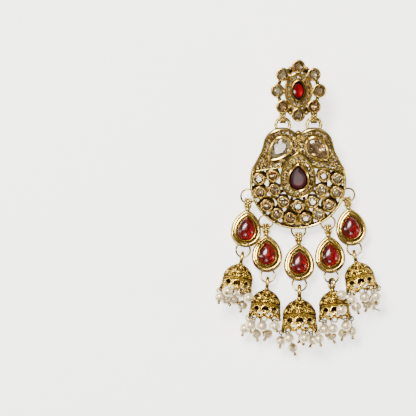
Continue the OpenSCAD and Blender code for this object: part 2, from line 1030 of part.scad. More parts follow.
module bell(i) {
    color("#c99a2e")
        at_bell(i) {
            rotate([0, 90, loop_turn[i]])
                wire_ring(loop_radius, loop_wire);
            translate([0, 0, -loop_drop - 0.3])
                cylinder(h = 0.9, r = 0.85);
            difference() {
                union() {
                    translate([0, 0, -belly_below])
                        rotate_extrude()
                            bell_section();
                    for (k = [0 : arches - 1])
                        rotate([0, 0, bell_turn + (k + 0.5) * lobe_step])
                            translate([dome_radius * 0.8, 0, -loop_drop - dome_height * 0.4])
                                rotate([0, 55, 0])
                                    wire_ring(0.8, 0.24);
                    for (k = [0 : arches - 1])
                        rotate([0, 0, bell_turn + k * lobe_step])
                            translate([dome_radius * 0.55, 0, -loop_drop - dome_height * 0.2])
                                sphere(0.4);
                }
                for (k = [0 : arches - 1])
                    rotate([0, 0, bell_turn + (k + 0.5) * lobe_step]) {
                        translate([cut_start, 0, 2.0 - hem_below])
                            rotate([0, 90, 0])
                                cylinder(h = 3, r = arch_radius);
                        translate([cut_start, 0, -0.6 - hem_below])
                            rotate([0, 90, 0])
                                cylinder(h = 3, r = 1.1);
                    }
                for (k = [0 : arches - 1])
                    rotate([0, 0, bell_turn + k * lobe_step])
                        translate([cut_start, 0, web_depth + hem_hole - hem_below])
                            rotate([0, 90, 0])
                                cylinder(h = 3, r = hem_hole);
            }
        }
}

module bell_0() {
    bell(0);
}

module bell_1() {
    bell(1);
}

module bell_2() {
    bell(2);
}

module bell_3() {
    bell(3);
}

module bell_4() {
    bell(4);
}

// puts a pin's own frame at the hem's web of each pearl of bell i
module at_pins(i) {
    size = bell_size[i];
    lay(loop_point(i), bell_heading[i], bell_slope)
        for (p = pearl_tables[i])
            rotate([0, 0, bell_turn + p[0] * lobe_step])
                translate([hem_middle * size, 0, (web_depth / 2 - hem_below) * size])
                    rotate([p[2], -p[1], 0]) {
                        $neck = p[3];
                        children();
                    }
}

module pearls(i) {
    color("#f2eadb")
        at_pins(i)
            translate([0, 0, -pin_drop - $neck])
                difference() {
                    sphere(pearl_radius);
                    cylinder(h = 4 * pearl_radius, r = pin_wire + bore_gap, center = true);
                }
}

module pearls_0() {
    pearls(0);
}

module pearls_1() {
    pearls(1);
}

module pearls_2() {
    pearls(2);
}

module pearls_3() {
    pearls(3);
}

module pearls_4() {
    pearls(4);
}

module pins(i) {
    shank = pin_drop + pearl_radius + pin_ball - pin_eye;
    color("#c9a659")
        at_pins(i) {
            rotate([90, 0, 0])
                wire_ring(pin_eye, pin_wire);
            translate([0, 0, -pin_eye - shank - $neck])
                cylinder(h = shank + $neck, r = pin_wire);
            translate([0, 0, -pin_drop - pearl_radius - pin_ball - $neck])
                sphere(pin_ball);
        }
}

module pins_0() {
    pins(0);
}

module pins_1() {
    pins(1);
}

module pins_2() {
    pins(2);
}

module pins_3() {
    pins(3);
}

module pins_4() {
    pins(4);
}

stud_frame();
stud_oval_stone();
petal_stone_0();
petal_stone_1();
petal_stone_2();
petal_stone_3();
petal_stone_4();
petal_stone_5();
petal_stone_6();
petal_stone_7();
stud_pave();
body_frame();
middle_stone();
wing_stone_left();
wing_stone_right();
stone_row_top();
stone_row_second();
stone_row_third();
stone_row_bottom();
halo_pave();
wing_pave_left();
wing_pave_right();
upper_ring_0();
upper_ring_1();
upper_ring_2();
upper_ring_3();
upper_ring_4();
teardrop_0();
teardrop_1();
teardrop_2();
teardrop_3();
teardrop_4();
drop_stone_0();
drop_stone_1();
drop_stone_2();
drop_stone_3();
drop_stone_4();
lower_ring_0();
lower_ring_1();
lower_ring_2();
lower_ring_3();
lower_ring_4();
bell_0();
bell_1();
bell_2();
bell_3();
bell_4();
pearls_0();
pearls_1();
pearls_2();
pearls_3();
pearls_4();
pins_0();
pins_1();
pins_2();
pins_3();
pins_4();
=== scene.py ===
import math

import bmesh
import bpy
import numpy as np
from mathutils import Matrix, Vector


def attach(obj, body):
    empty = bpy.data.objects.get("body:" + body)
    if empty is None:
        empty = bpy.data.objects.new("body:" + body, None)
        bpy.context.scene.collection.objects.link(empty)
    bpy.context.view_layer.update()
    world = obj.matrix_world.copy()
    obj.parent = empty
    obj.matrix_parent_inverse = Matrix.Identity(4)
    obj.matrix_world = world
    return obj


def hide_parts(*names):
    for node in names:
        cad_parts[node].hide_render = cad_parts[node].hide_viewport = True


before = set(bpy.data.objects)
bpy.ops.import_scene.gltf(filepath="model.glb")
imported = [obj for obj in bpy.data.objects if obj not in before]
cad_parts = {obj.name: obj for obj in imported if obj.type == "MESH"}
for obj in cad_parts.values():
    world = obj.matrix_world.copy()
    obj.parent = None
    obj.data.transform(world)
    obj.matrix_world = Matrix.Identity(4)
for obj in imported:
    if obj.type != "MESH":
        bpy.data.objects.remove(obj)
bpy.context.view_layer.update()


# The table, the light and the camera. The earring lies on a lit sheet of white acrylic under soft
# lamps and is seen from straight above, with free table to the left of it.
def linear(code):
    """Turns an sRGB hex colour to the linear values that a shader takes."""
    value = np.array([int(code[i:i + 2], 16) for i in (1, 3, 5)]) / 255
    value = np.where(value <= 0.04045, value / 12.92, ((value + 0.055) / 1.055) ** 2.4)
    return (*value, 1.0)


def add(tree, kind, links=None, **settings):
    """Adds a node, sets what is named in settings, and fills inputs from values or sockets."""
    made = tree.nodes.new(kind)
    for key, value in settings.items():
        setattr(made, key, value)
    for key, value in (links or {}).items():
        if isinstance(value, bpy.types.NodeSocket):
            tree.links.new(value, made.inputs[key])
        else:
            made.inputs[key].default_value = value
    return made


def material(name, values):
    """A new material, its shader's own values filled in, colours from their hex code. Gives the
    material, its node tree and its shader's inputs."""
    made = bpy.data.materials.new(name)
    made.use_nodes = True
    inputs = made.node_tree.nodes["Principled BSDF"].inputs
    for key, value in values.items():
        inputs[key].default_value = linear(value) if isinstance(value, str) else value
    return made, made.node_tree, inputs


# a matt sheet, lit through from below, so that it stays white and lights the edges of the piece
acrylic = material("backlit_white_acrylic", {
    "Base Color": "#F4F4F2", "Roughness": 0.9, "Specular IOR Level": 0.2, "Emission Color": "#FFFFFD",
    "Emission Strength": 1.9})[0]
sheet_half, sheet_top = 1.5, -0.0002
sheet = bpy.data.meshes.new("acrylic_sheet")
corners = [(x * sheet_half, y * sheet_half, sheet_top) for x, y in ((-1, -1), (1, -1), (1, 1), (-1, 1))]
sheet.from_pydata(corners, [], [(0, 1, 2, 3)])
sheet.materials.append(acrylic)
floor = bpy.data.objects.new("acrylic_sheet", sheet)
bpy.context.scene.collection.objects.link(floor)

world = bpy.data.worlds.new("room")
bpy.context.scene.world = world
world.use_nodes = True
room = world.node_tree
room.nodes["Background"].inputs["Color"].default_value = linear("#F2F0EE")
# light walls, and a dark ceiling behind the camera
height = add(room, "ShaderNodeSeparateXYZ", {0: add(room, "ShaderNodeTexCoord").outputs["Generated"]})
walls = add(room, "ShaderNodeMapRange", {"Value": height.outputs["Z"], "From Min": 0.45, "From Max": 0.85,
                                         "To Min": 0.45, "To Max": 0.08}, interpolation_type="SMOOTHSTEP")
room.links.new(walls.outputs[0], room.nodes["Background"].inputs["Strength"])

# each lamp: place and size in metres, power in watts, colour
for name, place, size, power, tint in (
    ("softbox_top", (-0.26, 0.40, 0.88), (0.40, 0.30), 24.0, "#FFFBF4"),
    ("softbox_low", (-0.06, -0.40, 0.90), (0.20, 0.14), 2.6, "#FFFFFF"),
    ("strip_left", (-0.85, 0.05, 0.45), (0.10, 0.70), 5.0, "#FFFFFF"),
    ("strip_right", (0.85, -0.10, 0.45), (0.10, 0.50), 3.0, "#FFFFFF"),
):
    lamp = bpy.data.lights.new(name, "AREA")
    lamp.shape = "RECTANGLE"
    lamp.size, lamp.size_y = size
    lamp.energy = power
    lamp.color = linear(tint)[:3]
    held = bpy.data.objects.new(name, lamp)
    held.location = place
    held.rotation_euler = (Vector((0.0, -0.03, 0.0)) - Vector(place)).to_track_quat("-Z", "Y").to_euler()
    bpy.context.scene.collection.objects.link(held)

# 416 pixels of 0.29 mm at the height of the earring's middle, from 1.1 m above
view_width, eye_height, focus_height = 416 * 0.00029, 1.1, 0.006
camera_data = bpy.data.cameras.new("camera")
camera_data.sensor_width = 36.0
camera_data.lens = camera_data.sensor_width * (eye_height - focus_height) / view_width
camera_data.clip_start, camera_data.clip_end = 0.1, 5.0
camera = bpy.data.objects.new("camera", camera_data)
camera.location = (-0.0261, -0.03387, eye_height)
bpy.context.scene.collection.objects.link(camera)
bpy.context.scene.camera = camera


# The stud. A cast flower in brass, plated and dipped in a dark wash that stays in the hollows, so
# the raised edges are bright and the seams brown. Eight round cups and an oval bezel hold stones.
MM = 0.001
post_length, plate_thickness = 9.6, 1.3
stud_top = post_length + plate_thickness
petal_at = np.radians([0, 42, 90, 138, 180, 222, 270, 318])
petal_ring = (6.0, 6.95)
petal_cup, petal_cup_height, petal_radius = (1.44, 1.99), 2.34, 1.38
oval_plate, oval_bezel = np.array([4.15, 5.15]), np.array([1.7, 2.7])
pave_count, small_radius, claw_radius = 14, 0.56, 0.25
rng = np.random.default_rng(11)


def sheet_of(points, wrap_rows=False):
    """A grid of points, rows by columns, as quads: each joins a point with the next of its row and
    the same two of the next row. Columns always close, and rows do where they wrap."""
    rows, columns = points.shape[:2]
    i = np.arange(rows if wrap_rows else rows - 1)[:, None]
    j = np.arange(columns)[None, :]
    below, beside = (i + 1) % rows * columns, (j + 1) % columns
    quads = np.stack([i * columns + j, i * columns + beside, below + beside, below + j], -1)
    return points.reshape(-1, 3), quads.reshape(-1, 4)


def round_angles(count, start=0.0):
    """The angles of a full turn in equal steps, from start steps on."""
    return (np.arange(count) + start) * 2 * np.pi / count


def circle(angle, across, along, z=0.0):
    """Level points of an ellipse at a height z: x = across cos angle, y = along sin angle."""
    return np.stack([across * np.cos(angle), along * np.sin(angle), z + 0 * angle], -1)


def raised(flat, z):
    """Flat points put at a height."""
    return np.column_stack([flat, np.full(len(flat), z)])


def turned(profile, steps=40, wrap=True):
    """A profile of radius and height turned round Z."""
    profile = np.asarray(profile, float)
    r, z = profile[:, 0][:, None], profile[:, 1][:, None]
    return sheet_of(circle(round_angles(steps), r, r, z), wrap_rows=wrap)


def wire(path, radius, sides=10, closed=True, up=(0, 0, 1)):
    """A round wire along a path: at each point a circle of the given radius stands across the
    path's direction, in the plane of its sideways and upward vectors. Open ends close to a point."""
    path = np.asarray(path, float)
    ahead = np.roll(path, -1, 0) - np.roll(path, 1, 0)
    if not closed:
        ahead[0], ahead[-1] = path[1] - path[0], path[-1] - path[-2]
    ahead /= np.linalg.norm(ahead, axis=1)[:, None]
    side = np.cross(ahead, np.broadcast_to(np.asarray(up, float), path.shape))
    side /= np.linalg.norm(side, axis=1)[:, None]
    top = np.cross(side, ahead)
    size = np.broadcast_to(np.asarray(radius, float), len(path)).copy()
    if not closed:
        path, side, top = (np.vstack([v[:1], v, v[-1:]]) for v in (path, side, top))
        size = np.concatenate([[0], size, [0]])
    a = round_angles(sides)[None, :, None]
    across = np.cos(a) * side[:, None] + np.sin(a) * top[:, None]
    return sheet_of(path[:, None] + size[:, None, None] * across, wrap_rows=closed)


def grains(centres, radius, rings=6, sides=8):
    """Small balls at the given centres, all from one ball of latitude and longitude quads."""
    centres = np.atleast_2d(np.asarray(centres, float))
    radius = np.broadcast_to(np.asarray(radius, float), len(centres))
    up = np.linspace(0, np.pi, rings + 1)[:, None]
    points, quads = sheet_of(circle(round_angles(sides)[None, :], np.sin(up), np.sin(up), np.cos(up)))
    all_points = centres[:, None] + radius[:, None, None] * points[None]
    all_quads = quads[None] + (np.arange(len(centres)) * len(points))[:, None, None]
    return all_points.reshape(-1, 3), all_quads.reshape(-1, 4)


def shifted(part, move=(0, 0, 0), turn=None):
    """A part turned by a 3 by 3 matrix and then moved."""
    points = part[0] if turn is None else part[0] @ np.asarray(turn).T
    return (points + np.asarray(move, float), *part[1:])


def piece(name, parts, finishes, soft=38.0, marks=None):
    """Joins parts in millimetres, each (points, faces) or (points, faces, finish number), into one
    mesh in metres. Points that meet are merged, which closes seams and poles, and faces are turned
    outwards. Edges sharper than soft degrees stay sharp. marks gives one value to each part, or one
    to each of its points, kept as the attribute tone."""
    points, loops, sizes, finish, tone, base = [], [], [], [], [], 0
    for number, part in enumerate(parts):
        points.append(part[0])
        faces = np.asarray(part[1])
        loops.append((faces + base).ravel())
        sizes.append(np.full(len(faces), faces.shape[1]))
        finish.append(np.full(len(faces), part[2] if len(part) > 2 else 0))
        tone.append(np.full(len(part[0]), marks[number] if marks is not None else 0.0))
        base += len(part[0])
    points, loops, sizes, finish, tone = map(np.concatenate, (points, loops, sizes, finish, tone))
    mesh = bpy.data.meshes.new(name)
    mesh.vertices.add(len(points))
    mesh.vertices.foreach_set("co", (points * MM).astype(np.float32).ravel())
    mesh.loops.add(len(loops))
    mesh.loops.foreach_set("vertex_index", loops.astype(np.int32))
    mesh.polygons.add(len(sizes))
    mesh.polygons.foreach_set("loop_start", (np.cumsum(sizes) - sizes).astype(np.int32))
    mesh.polygons.foreach_set("material_index", finish.astype(np.int32))
    for given in finishes:
        mesh.materials.append(given)
    if marks is not None:
        mesh.attributes.new("tone", "FLOAT", "POINT").data.foreach_set("value", tone.astype(np.float32))
    mesh.update(calc_edges=True)
    mesh.validate()
    work = bmesh.new()
    work.from_mesh(mesh)
    bmesh.ops.remove_doubles(work, verts=work.verts, dist=2e-7)
    bmesh.ops.dissolve_degenerate(work, edges=work.edges, dist=1e-8)
    bmesh.ops.recalc_face_normals(work, faces=work.faces)
    work.to_mesh(mesh)
    work.free()
    mesh.polygons.foreach_set("use_smooth", np.ones(len(mesh.polygons), bool))
    mesh.set_sharp_from_angle(angle=math.radians(soft))
    made = bpy.data.objects.new(name, mesh)
    bpy.context.scene.collection.objects.link(made)
    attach(made, "root")
    return made


def gold(name, bright, dark, rough, wash, grit=0.35, side=0.55, deep=0.0):
    """Gold plate over cast brass. Where the metal is shut in, the wash is dark and dull, and out in
    the open it is rubbed bright, in blotches of about 1.6 mm. Faces that stand upright as the piece
    lies keep more of the dark colour, which is painted shade. wash is how far in millimetres a hollow
    reaches, grit the size in millimetres of the cast grain, side how much of the dark colour the
    upright faces keep as painted shade, and deep how much darker the points are whose tone says
    that they lie low."""
    made, tree, inputs = material(name, {"Metallic": 1.0})
    place = add(tree, "ShaderNodeTexCoord").outputs["Object"]
    cloud = add(tree, "ShaderNodeTexNoise", {"Vector": place, "Scale": 1000 / 1.6, "Detail": 4.0})
    grain = add(tree, "ShaderNodeTexNoise", {"Vector": place, "Scale": 1000 / grit, "Detail": 3.0})
    hollow = add(tree, "ShaderNodeAmbientOcclusion", {"Distance": wash * MM}, samples=6)
    clouded = add(tree, "ShaderNodeMath", {0: hollow.outputs["AO"], 1: cloud.outputs["Fac"]}, operation="ADD")
    # painted shade: faces that stand upright as the piece lies keep more of the dark colour
    facing = add(tree, "ShaderNodeSeparateXYZ", {0: add(tree, "ShaderNodeNewGeometry").outputs["Normal"]})
    flat = add(tree, "ShaderNodeMath", {0: facing.outputs["Z"]}, operation="ABSOLUTE")
    painted_side_shade = add(tree, "ShaderNodeMapRange", {"Value": flat.outputs[0], "From Min": 0.1, "From Max": 0.75,
                                               "To Min": -side})
    clean_and_side_lit = add(tree, "ShaderNodeMath", {0: clouded.outputs[0], 1: painted_side_shade.outputs[0]}, operation="ADD")
    if deep:
        low = add(tree, "ShaderNodeAttribute", attribute_name="tone")
        clean_and_side_lit = add(tree, "ShaderNodeMath", {0: low.outputs["Fac"], 1: -deep, 2: clean_and_side_lit.outputs[0]},
                    operation="MULTIPLY_ADD")
    # openness, cloud and facing each reach about 1: the dark colour, wash in the hollows and painted
    # shade on the upright faces, is whole below 1.9 and gone above 2.45
    rubbed_and_side_lit = add(tree, "ShaderNodeMapRange", {"Value": clean_and_side_lit.outputs[0], "From Min": 1.9, "From Max": 2.45})
    colour = add(tree, "ShaderNodeMix", {"Factor": rubbed_and_side_lit.outputs[0], "A": linear(dark), "B": linear(bright)},
                 data_type="RGBA")
    tree.links.new(colour.outputs["Result"], inputs["Base Color"])
    dull = add(tree, "ShaderNodeMapRange", {"Value": rubbed_and_side_lit.outputs[0], "To Min": 0.62, "To Max": rough})
    tree.links.new(dull.outputs[0], inputs["Roughness"])
    bump = add(tree, "ShaderNodeBump", {"Height": grain.outputs["Fac"], "Strength": 0.25,
                                        "Distance": 0.06 * MM})
    tree.links.new(bump.outputs[0], inputs["Normal"])
    return made


antique_gold = gold("antique_gold_plate", "#C29E4A", "#2C1603", 0.17, 1.9)
bright_gold = gold("rubbed_bright_gold_plate", "#DEC062", "#4A2E0A", 0.14, 0.6, side=0.4)
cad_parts["stud_frame"].data.materials.clear()
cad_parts["stud_frame"].data.materials.append(antique_gold)


def oval(a, b, out=0.0, count=72):
    """Points of an ellipse of half width a and half height b, moved outwards along its normal."""
    u = round_angles(count)
    normal = np.stack([b * np.cos(u), a * np.sin(u)], -1)
    normal /= np.linalg.norm(normal, axis=1)[:, None]
    return np.stack([a * np.cos(u), b * np.sin(u)], -1) + out * normal


def walled(curve, profile):
    """A closed wall round a flat curve: each row is the curve moved out by the profile's first
    value at the profile's second value as its height, and the last row joins the first."""
    return sheet_of(np.stack([raised(curve(out), z) for out, z in profile]), wrap_rows=True)


def cup_profile(inner, outer, top):
    """Section of a rounded cup rim: up the outside, over a soft lip, and down the inside."""
    lip = outer - inner
    return [(outer + 0.02, 0.0), (outer + 0.03, top - 0.42 * lip), (outer - 0.06 * lip, top - 0.16 * lip),
            (outer - 0.28 * lip, top), (outer - 0.52 * lip, top + 0.02),
            (outer - 0.76 * lip, top - 0.10 * lip), (inner + 0.06 * lip, top - 0.4 * lip),
            (inner, top - 0.95 * lip), (inner, 0.3)]


petal_places = circle(petal_at, *petal_ring, post_length)
petal_rim = turned(cup_profile(*petal_cup, petal_cup_height), 44)
stud_parts = [shifted(petal_rim, place) for place in petal_places]
stud_parts.append(walled(lambda out: oval(4.0, 5.0, out), [
    (0.17, post_length + 0.4), (0.18, stud_top + 0.2), (0.10, stud_top + 0.36), (-0.05, stud_top + 0.40),
    (-0.19, stud_top + 0.30), (-0.22, stud_top), (-0.22, post_length + 0.6)]))
stud_parts.append(walled(lambda out: oval(1.74, 2.74, out), [
    (0.34, stud_top - 0.3), (0.34, stud_top + 0.85), (0.24, stud_top + 1.0), (0.12, stud_top + 1.02),
    (0.03, stud_top + 0.90), (0.03, stud_top - 0.2)]))
# rounded accents between the petals, and the small claws that hold each little stone
accents = np.radians([67, 113, 247, 293, 22, 158, 202, 338])
stud_parts.append(grains(circle(accents, *petal_ring, post_length + 1.45), [0.66] * 4 + [0.46] * 4, 10, 14))
pave_oval = (oval_bezel + oval_plate) / 2
stud_stones = circle(round_angles(pave_count, 0.5), *pave_oval, stud_top)
for widen in (-0.52, 0.50):
    claw_ring = circle(round_angles(pave_count), *(pave_oval + widen), stud_top + 0.1)
    stud_parts.append(grains(claw_ring, claw_radius))
# the two granulated lugs, three rows of grains round a hole, with the short sleeve that holds them
lean, hinge_drop, hinge_height = math.radians(14), 9.85, post_length + 0.75
eyelet_radius, eyelet_spread = 1.98, 4.5
lug_line = hinge_drop - eyelet_radius * math.cos(lean)
lug_height = hinge_height + eyelet_radius * math.sin(lean)


def grain_band(middle, size, apart, count, hole):
    """A band of grains round the X axis: three rings of count balls side by side on a sleeve."""
    balls = [circle(round_angles(count, start), middle, middle, x)
             for x, start in ((-apart, 0), (0, 0.5), (apart, 0))]
    sleeve = turned([(hole, -apart - 0.2), (middle, -apart - 0.2), (middle + 0.3 * size, 0),
                     (middle, apart + 0.2), (hole, apart + 0.2)], 28)
    swing = np.array([[0, 0, 1], [0, 1, 0], [-1, 0, 0]])
    upright = np.concatenate(balls)[:, [2, 0, 1]]
    return [grains(upright, size, 8, 10), shifted(sleeve, turn=swing)]


for side in (-1, 1):
    for part in grain_band(1.17, 0.44, 0.55, 8, 0.82):
        stud_parts.append(shifted(part, (side * eyelet_spread, -lug_line, lug_height)))
# four little seats that fill the gaps above and below the oval
seats = np.array([(sx * 2.2, sy * 5.5, post_length + 0.55) for sx in (-1, 1) for sy in (-1, 1)])
seat_cup = turned([(0, -0.4), (0.98, -0.4), (1.02, 0.9), (0.86, 1.12), (0.66, 1.05), (0, 1.0)], 24, False)
stud_parts += [shifted(seat_cup, seat) for seat in seats]
stud_settings = piece("stud_settings", stud_parts, [antique_gold])


# The stones. Pressed glass, cut with a flat table and facets, tinted like champagne or ruby, and
# silvered at the back with a foil that throws the light out again through the facets.
def glass(name, tint, rough=0.01):
    """Clear pressed glass with a tint: light passes the facets and is coloured at each pass."""
    values = {"Base Color": tint, "Roughness": rough, "IOR": 1.52, "Transmission Weight": 1.0}
    return material(name, values)[0]


def plain_foil(name, colour, metallic, rough):
    """The back of a stone that lets little light out again: a thin lacquered skin in one colour."""
    return material(name, {"Base Color": colour, "Metallic": metallic, "Roughness": rough})[0]


def silvered_foil(name, low, high, rough):
    """The silvered back of a stone: a metal skin whose colour differs in patches of about 0.7 mm,
    and from stone to stone, which each stone carries as its tone."""
    made, tree, inputs = material(name, {"Metallic": 0.86, "Roughness": rough})
    tone = add(tree, "ShaderNodeAttribute", attribute_name="tone")
    place = add(tree, "ShaderNodeTexCoord").outputs["Object"]
    cells = add(tree, "ShaderNodeTexVoronoi", {"Vector": place, "Scale": 1000 / 0.7})
    split = add(tree, "ShaderNodeSeparateColor", {"Color": cells.outputs["Color"]})
    both = add(tree, "ShaderNodeMath", {0: split.outputs[0], 1: 0.55, 2: tone.outputs["Fac"]},
               operation="MULTIPLY_ADD")
    mixed = add(tree, "ShaderNodeMix", {"Factor": both.outputs[0], "A": linear(low), "B": linear(high)},
                data_type="RGBA")
    tree.links.new(mixed.outputs["Result"], inputs["Base Color"])
    return made


champagne = glass("champagne_pressed_glass", "#FDEFCC")
champagne_foil = silvered_foil("champagne_foil", "#B98430", "#FFFCEC", 0.09)
ruby = glass("ruby_pressed_glass", "#B00012")
ruby_foil = plain_foil("ruby_foil", "#A0626A", 0.4, 0.35)
# painted shadow: a near-black foil on the ruby's sloping back, so that the crown shows dark sides round its
# bright table
bezel_shadow_foil = plain_foil("painted_bezel_shadow_foil", "#3E2A2C", 0.8, 0.3)


def facets(*rings):
    """Triangles from rings of facets, each ring given as its three rows of corner numbers."""
    return np.concatenate([np.stack(np.broadcast_arrays(*corners), -1) for corners in rings])


def round_stone(r, sides=8):
    """A round cut of radius r: a table at 0.56 of it, for each side a kite and its girdle facets
    above, and two rows of facets that meet in a point below. Gives points, crown and back."""
    even, between = round_angles(sides), round_angles(sides, 0.5)
    points = r * np.vstack([circle(even, 0.56, 0.56, 0.38), circle(between, 0.82, 0.82, 0.22),
                            circle(round_angles(2 * sides), 1.0, 1.0), circle(between, 0.52, 0.52, -0.32),
                            [[0, 0, -0.55], [0, 0, 0.38]]])
    kite, girdle, lower, point, centre = sides, 2 * sides, 4 * sides, 5 * sides, 5 * sides + 1
    k = np.arange(sides)
    n = (k + 1) % sides
    first, second, third = girdle + 2 * k, girdle + 2 * k + 1, girdle + (2 * k + 2) % (2 * sides)
    crown = facets((centre, k, n), (k, kite + k, n), (n, kite + k, kite + n), (kite + k, first, second),
                   (kite + k, second, third), (kite + k, third, kite + n))
    back = facets((lower + k, second, first), (lower + k, third, second), (lower + k, lower + n, third),
                  (lower + n, lower + k, point))
    return points, crown, back


def stones(name, cut, places, frames, finishes, tones):
    """Sets the same cut at each place, turned by its own 3 by 3 matrix, crown and back apart."""
    parts = []
    for place, turn in zip(places, frames):
        laid = cut[0] @ turn.T + place
        parts += [(laid, cut[1], 0), (laid, cut[2], 1)]
    return piece(name, parts, finishes, soft=1.0, marks=np.repeat(tones, 2))


def spin(a):
    """Turn about Z by a radians."""
    return np.array([[math.cos(a), -math.sin(a), 0], [math.sin(a), math.cos(a), 0], [0, 0, 1]])


def tip(a):
    """Turn about X by a radians."""
    return np.array([[1, 0, 0], [0, math.cos(a), -math.sin(a)], [0, math.sin(a), math.cos(a)]])


def roll(a):
    """Turn about Y by a radians."""
    return np.array([[math.cos(a), 0, math.sin(a)], [0, 1, 0], [-math.sin(a), 0, math.cos(a)]])


def hand_set(count, spread):
    """Small random turns: stones pressed in by hand never sit quite level."""
    return [spin(rng.uniform(0, np.pi)) @ tip(rng.normal(0, spread)) @ roll(rng.normal(0, spread))
            for _ in range(count)]


small_cut = round_stone(small_radius, 6)
petal_glass = stones("petal_stones", round_stone(petal_radius), petal_places + [0, 0, 1.76], hand_set(8, 0.05),
                     [champagne, champagne_foil], rng.uniform(0.0, 0.6, 8))
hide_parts(*[f"petal_stone_{k}" for k in range(8)])
stud_small_places = np.vstack([stud_stones + [0, 0, -0.05], seats + [0, 0, 1.1]])
stud_small = stones("stud_small_stones", small_cut, stud_small_places, hand_set(18, 0.16),
                    [champagne, champagne_foil], rng.uniform(0.2, 0.7, 18))
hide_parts("stud_pave")


def stepped_stone(curve, rows):
    """A cut stone on a flat curve: rows of the curve drawn in towards its middle, each given as a
    share of the size and a height, the third of them the girdle. Gives the points, the crown with
    its flat table, the sloping back and the flat back."""
    middle, count = curve.mean(0), len(curve)
    points = [raised(middle + share * (curve - middle), z) for share, z in rows]
    points += [[[*middle, rows[0][1]]], [[*middle, rows[-1][1] - 0.12]]]
    k = np.arange(count)
    n = (k + 1) % count
    bands = []
    for a in range(0, (len(rows) - 1) * count, count):
        b = a + count
        bands.append(facets((a + k, a + n, b + n), (a + k, b + n, b + k)))
    centre, last = len(rows) * count, (len(rows) - 1) * count
    crown = np.concatenate([*bands[:2], facets((k, n, centre))])
    return np.vstack(points), crown, np.concatenate(bands[2:]), facets((last + n, last + k, centre + 1))


def single_stone(name, cut, place, turn, finishes, tone):
    """One cut stone at its place, its crown, sloping back and flat back each with its own finish."""
    laid = cut[0] @ turn.T + place
    parts = [(laid, faces, number) for number, faces in enumerate(cut[1:])]
    return piece(name, parts, finishes, soft=1.0, marks=[tone] * 3)


oval_cut = stepped_stone(oval(1.68, 2.68, 0, 14), [(0.62, 0.62), (0.84, 0.34), (1.0, 0.0), (0.66, -0.66)])
# the oval's sloping back takes the foil of painted shadow, and its flat back the ruby foil
red_oval = single_stone("stud_oval_stone_cut", oval_cut, np.array([0, 0, stud_top + 0.6]),
                        tip(-0.10) @ roll(0.05), [ruby, bezel_shadow_foil, ruby_foil], 0.6)
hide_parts("stud_oval_stone")


# The body. A cast crescent on a pierced disc, hung in the stud's lugs by two eyelets. Wires and
# collars are soldered on and rubbed bright, and rows of little stones are held by raised grains.
body_back, disc_radius, disc_drop, wing_thickness = 0.4, 14.0, 16.85, 1.5
halo_pear, middle_pear, wing_pear = (5.25, 8.55), (2.65, 4.65), (2.4, 5.0)
halo_wall, bezel_wall, round_radius = 0.4, 0.5, 1.375
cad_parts["body_frame"].data.materials.clear()
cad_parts["body_frame"].data.materials.append(antique_gold)


def on_body(points):
    """From the body's own plane, hinge line at its top, to where it lies: tipped by its lean."""
    points = np.asarray(points, float) - [0, 0, body_back]
    return points @ tip(lean).T + [0, -hinge_drop, hinge_height]


def mirrored(part):
    """A part of the right wing, made into the left one's."""
    return (part[0] * [-1, 1, 1], *part[1:])


def brightened(part):
    """A part in the second finish of its piece, the bright one."""
    return (*part, 1)


def pear(r, reach, out=0.0, count=40):
    """Points of a pear from its lowest point round to its tip and back: a half circle of radius r
    and two big arcs that meet at the tip, all moved outwards. The arcs' radius is
    (reach^2 + r^2) / 2 r, and their centres lie level with the round part's."""
    big = (reach * reach + r * r) / (2 * r)
    end = math.acos(min(1.0, (big - r) / (big + out)))
    low = np.linspace(0, np.pi / 2, count // 2, endpoint=False)
    high = np.linspace(0, end, count // 2 + 1)
    right = np.vstack([np.stack([(r + out) * np.sin(low), -(r + out) * np.cos(low)], -1),
                       np.stack([r - big + (big + out) * np.cos(high), (big + out) * np.sin(high)], -1)])
    return np.vstack([right, (right[1:-1] * [-1, 1])[::-1]])


def spline(corners, steps):
    """A smooth line through the corners: each stretch is the Catmull-Rom cubic of four of them."""
    p = np.asarray(corners, float)
    p = np.vstack([2 * p[0] - p[1], p, 2 * p[-1] - p[-2]])
    a, b, c, d = (p[i:len(p) - 3 + i][:, None] for i in range(4))
    t = (np.arange(steps) / steps)[None, :, None]
    square, cube = 2 * a - 5 * b + 4 * c - d, 3 * b - a - 3 * c + d
    line = 0.5 * (2 * b + (c - a) * t + square * t ** 2 + cube * t ** 3)
    return np.vstack([line.reshape(-1, p.shape[1]), p[-2]])


def within(points, outline):
    """Which points lie inside a closed flat line: those whose ray to +x crosses it an odd number of
    times."""
    a, b = outline, np.roll(outline, -1, 0)
    x, y = points[:, None, 0], points[:, None, 1]
    with np.errstate(divide="ignore", invalid="ignore"):
        cut = a[:, 0] + (b[:, 0] - a[:, 0]) * (y - a[:, 1]) / (b[:, 1] - a[:, 1])
    return (((a[:, 1] > y) != (b[:, 1] > y)) & (x < cut)).sum(1) % 2 == 1


lobe_centre, lobe_radius = np.array([4.6, -6.4]), 5.6
lobe_a = np.radians(np.linspace(143, 6, 24))
edge = np.vstack([lobe_centre + (lobe_radius - 0.24) * np.stack([np.cos(lobe_a), np.sin(lobe_a)], -1),
                  spline([[10.05, -6.1], [10.62, -8.0], [11.75, -10.4], [13.05, -12.85]], 6)[1:],
                  spline([[12.85, -13.42], [8.0, -12.75], [3.6, -12.2], [1.2, -11.5]], 6)])
halo_centre = np.array([0, -disc_drop + 0.75])
halo_edge = pear(*halo_pear, 0, 60) + halo_centre
wing_edge = raised(edge[~within(edge, halo_edge)], wing_thickness + 0.36)
wing_at, wing_turn = np.array([4.74, -5.72]), math.radians(41 + 180)


def wing_place(curve):
    """A flat curve drawn in the right wing stone's own frame, put on the wing."""
    c, s = math.cos(wing_turn), math.sin(wing_turn)
    return curve @ np.array([[c, s], [-s, c]]) + wing_at


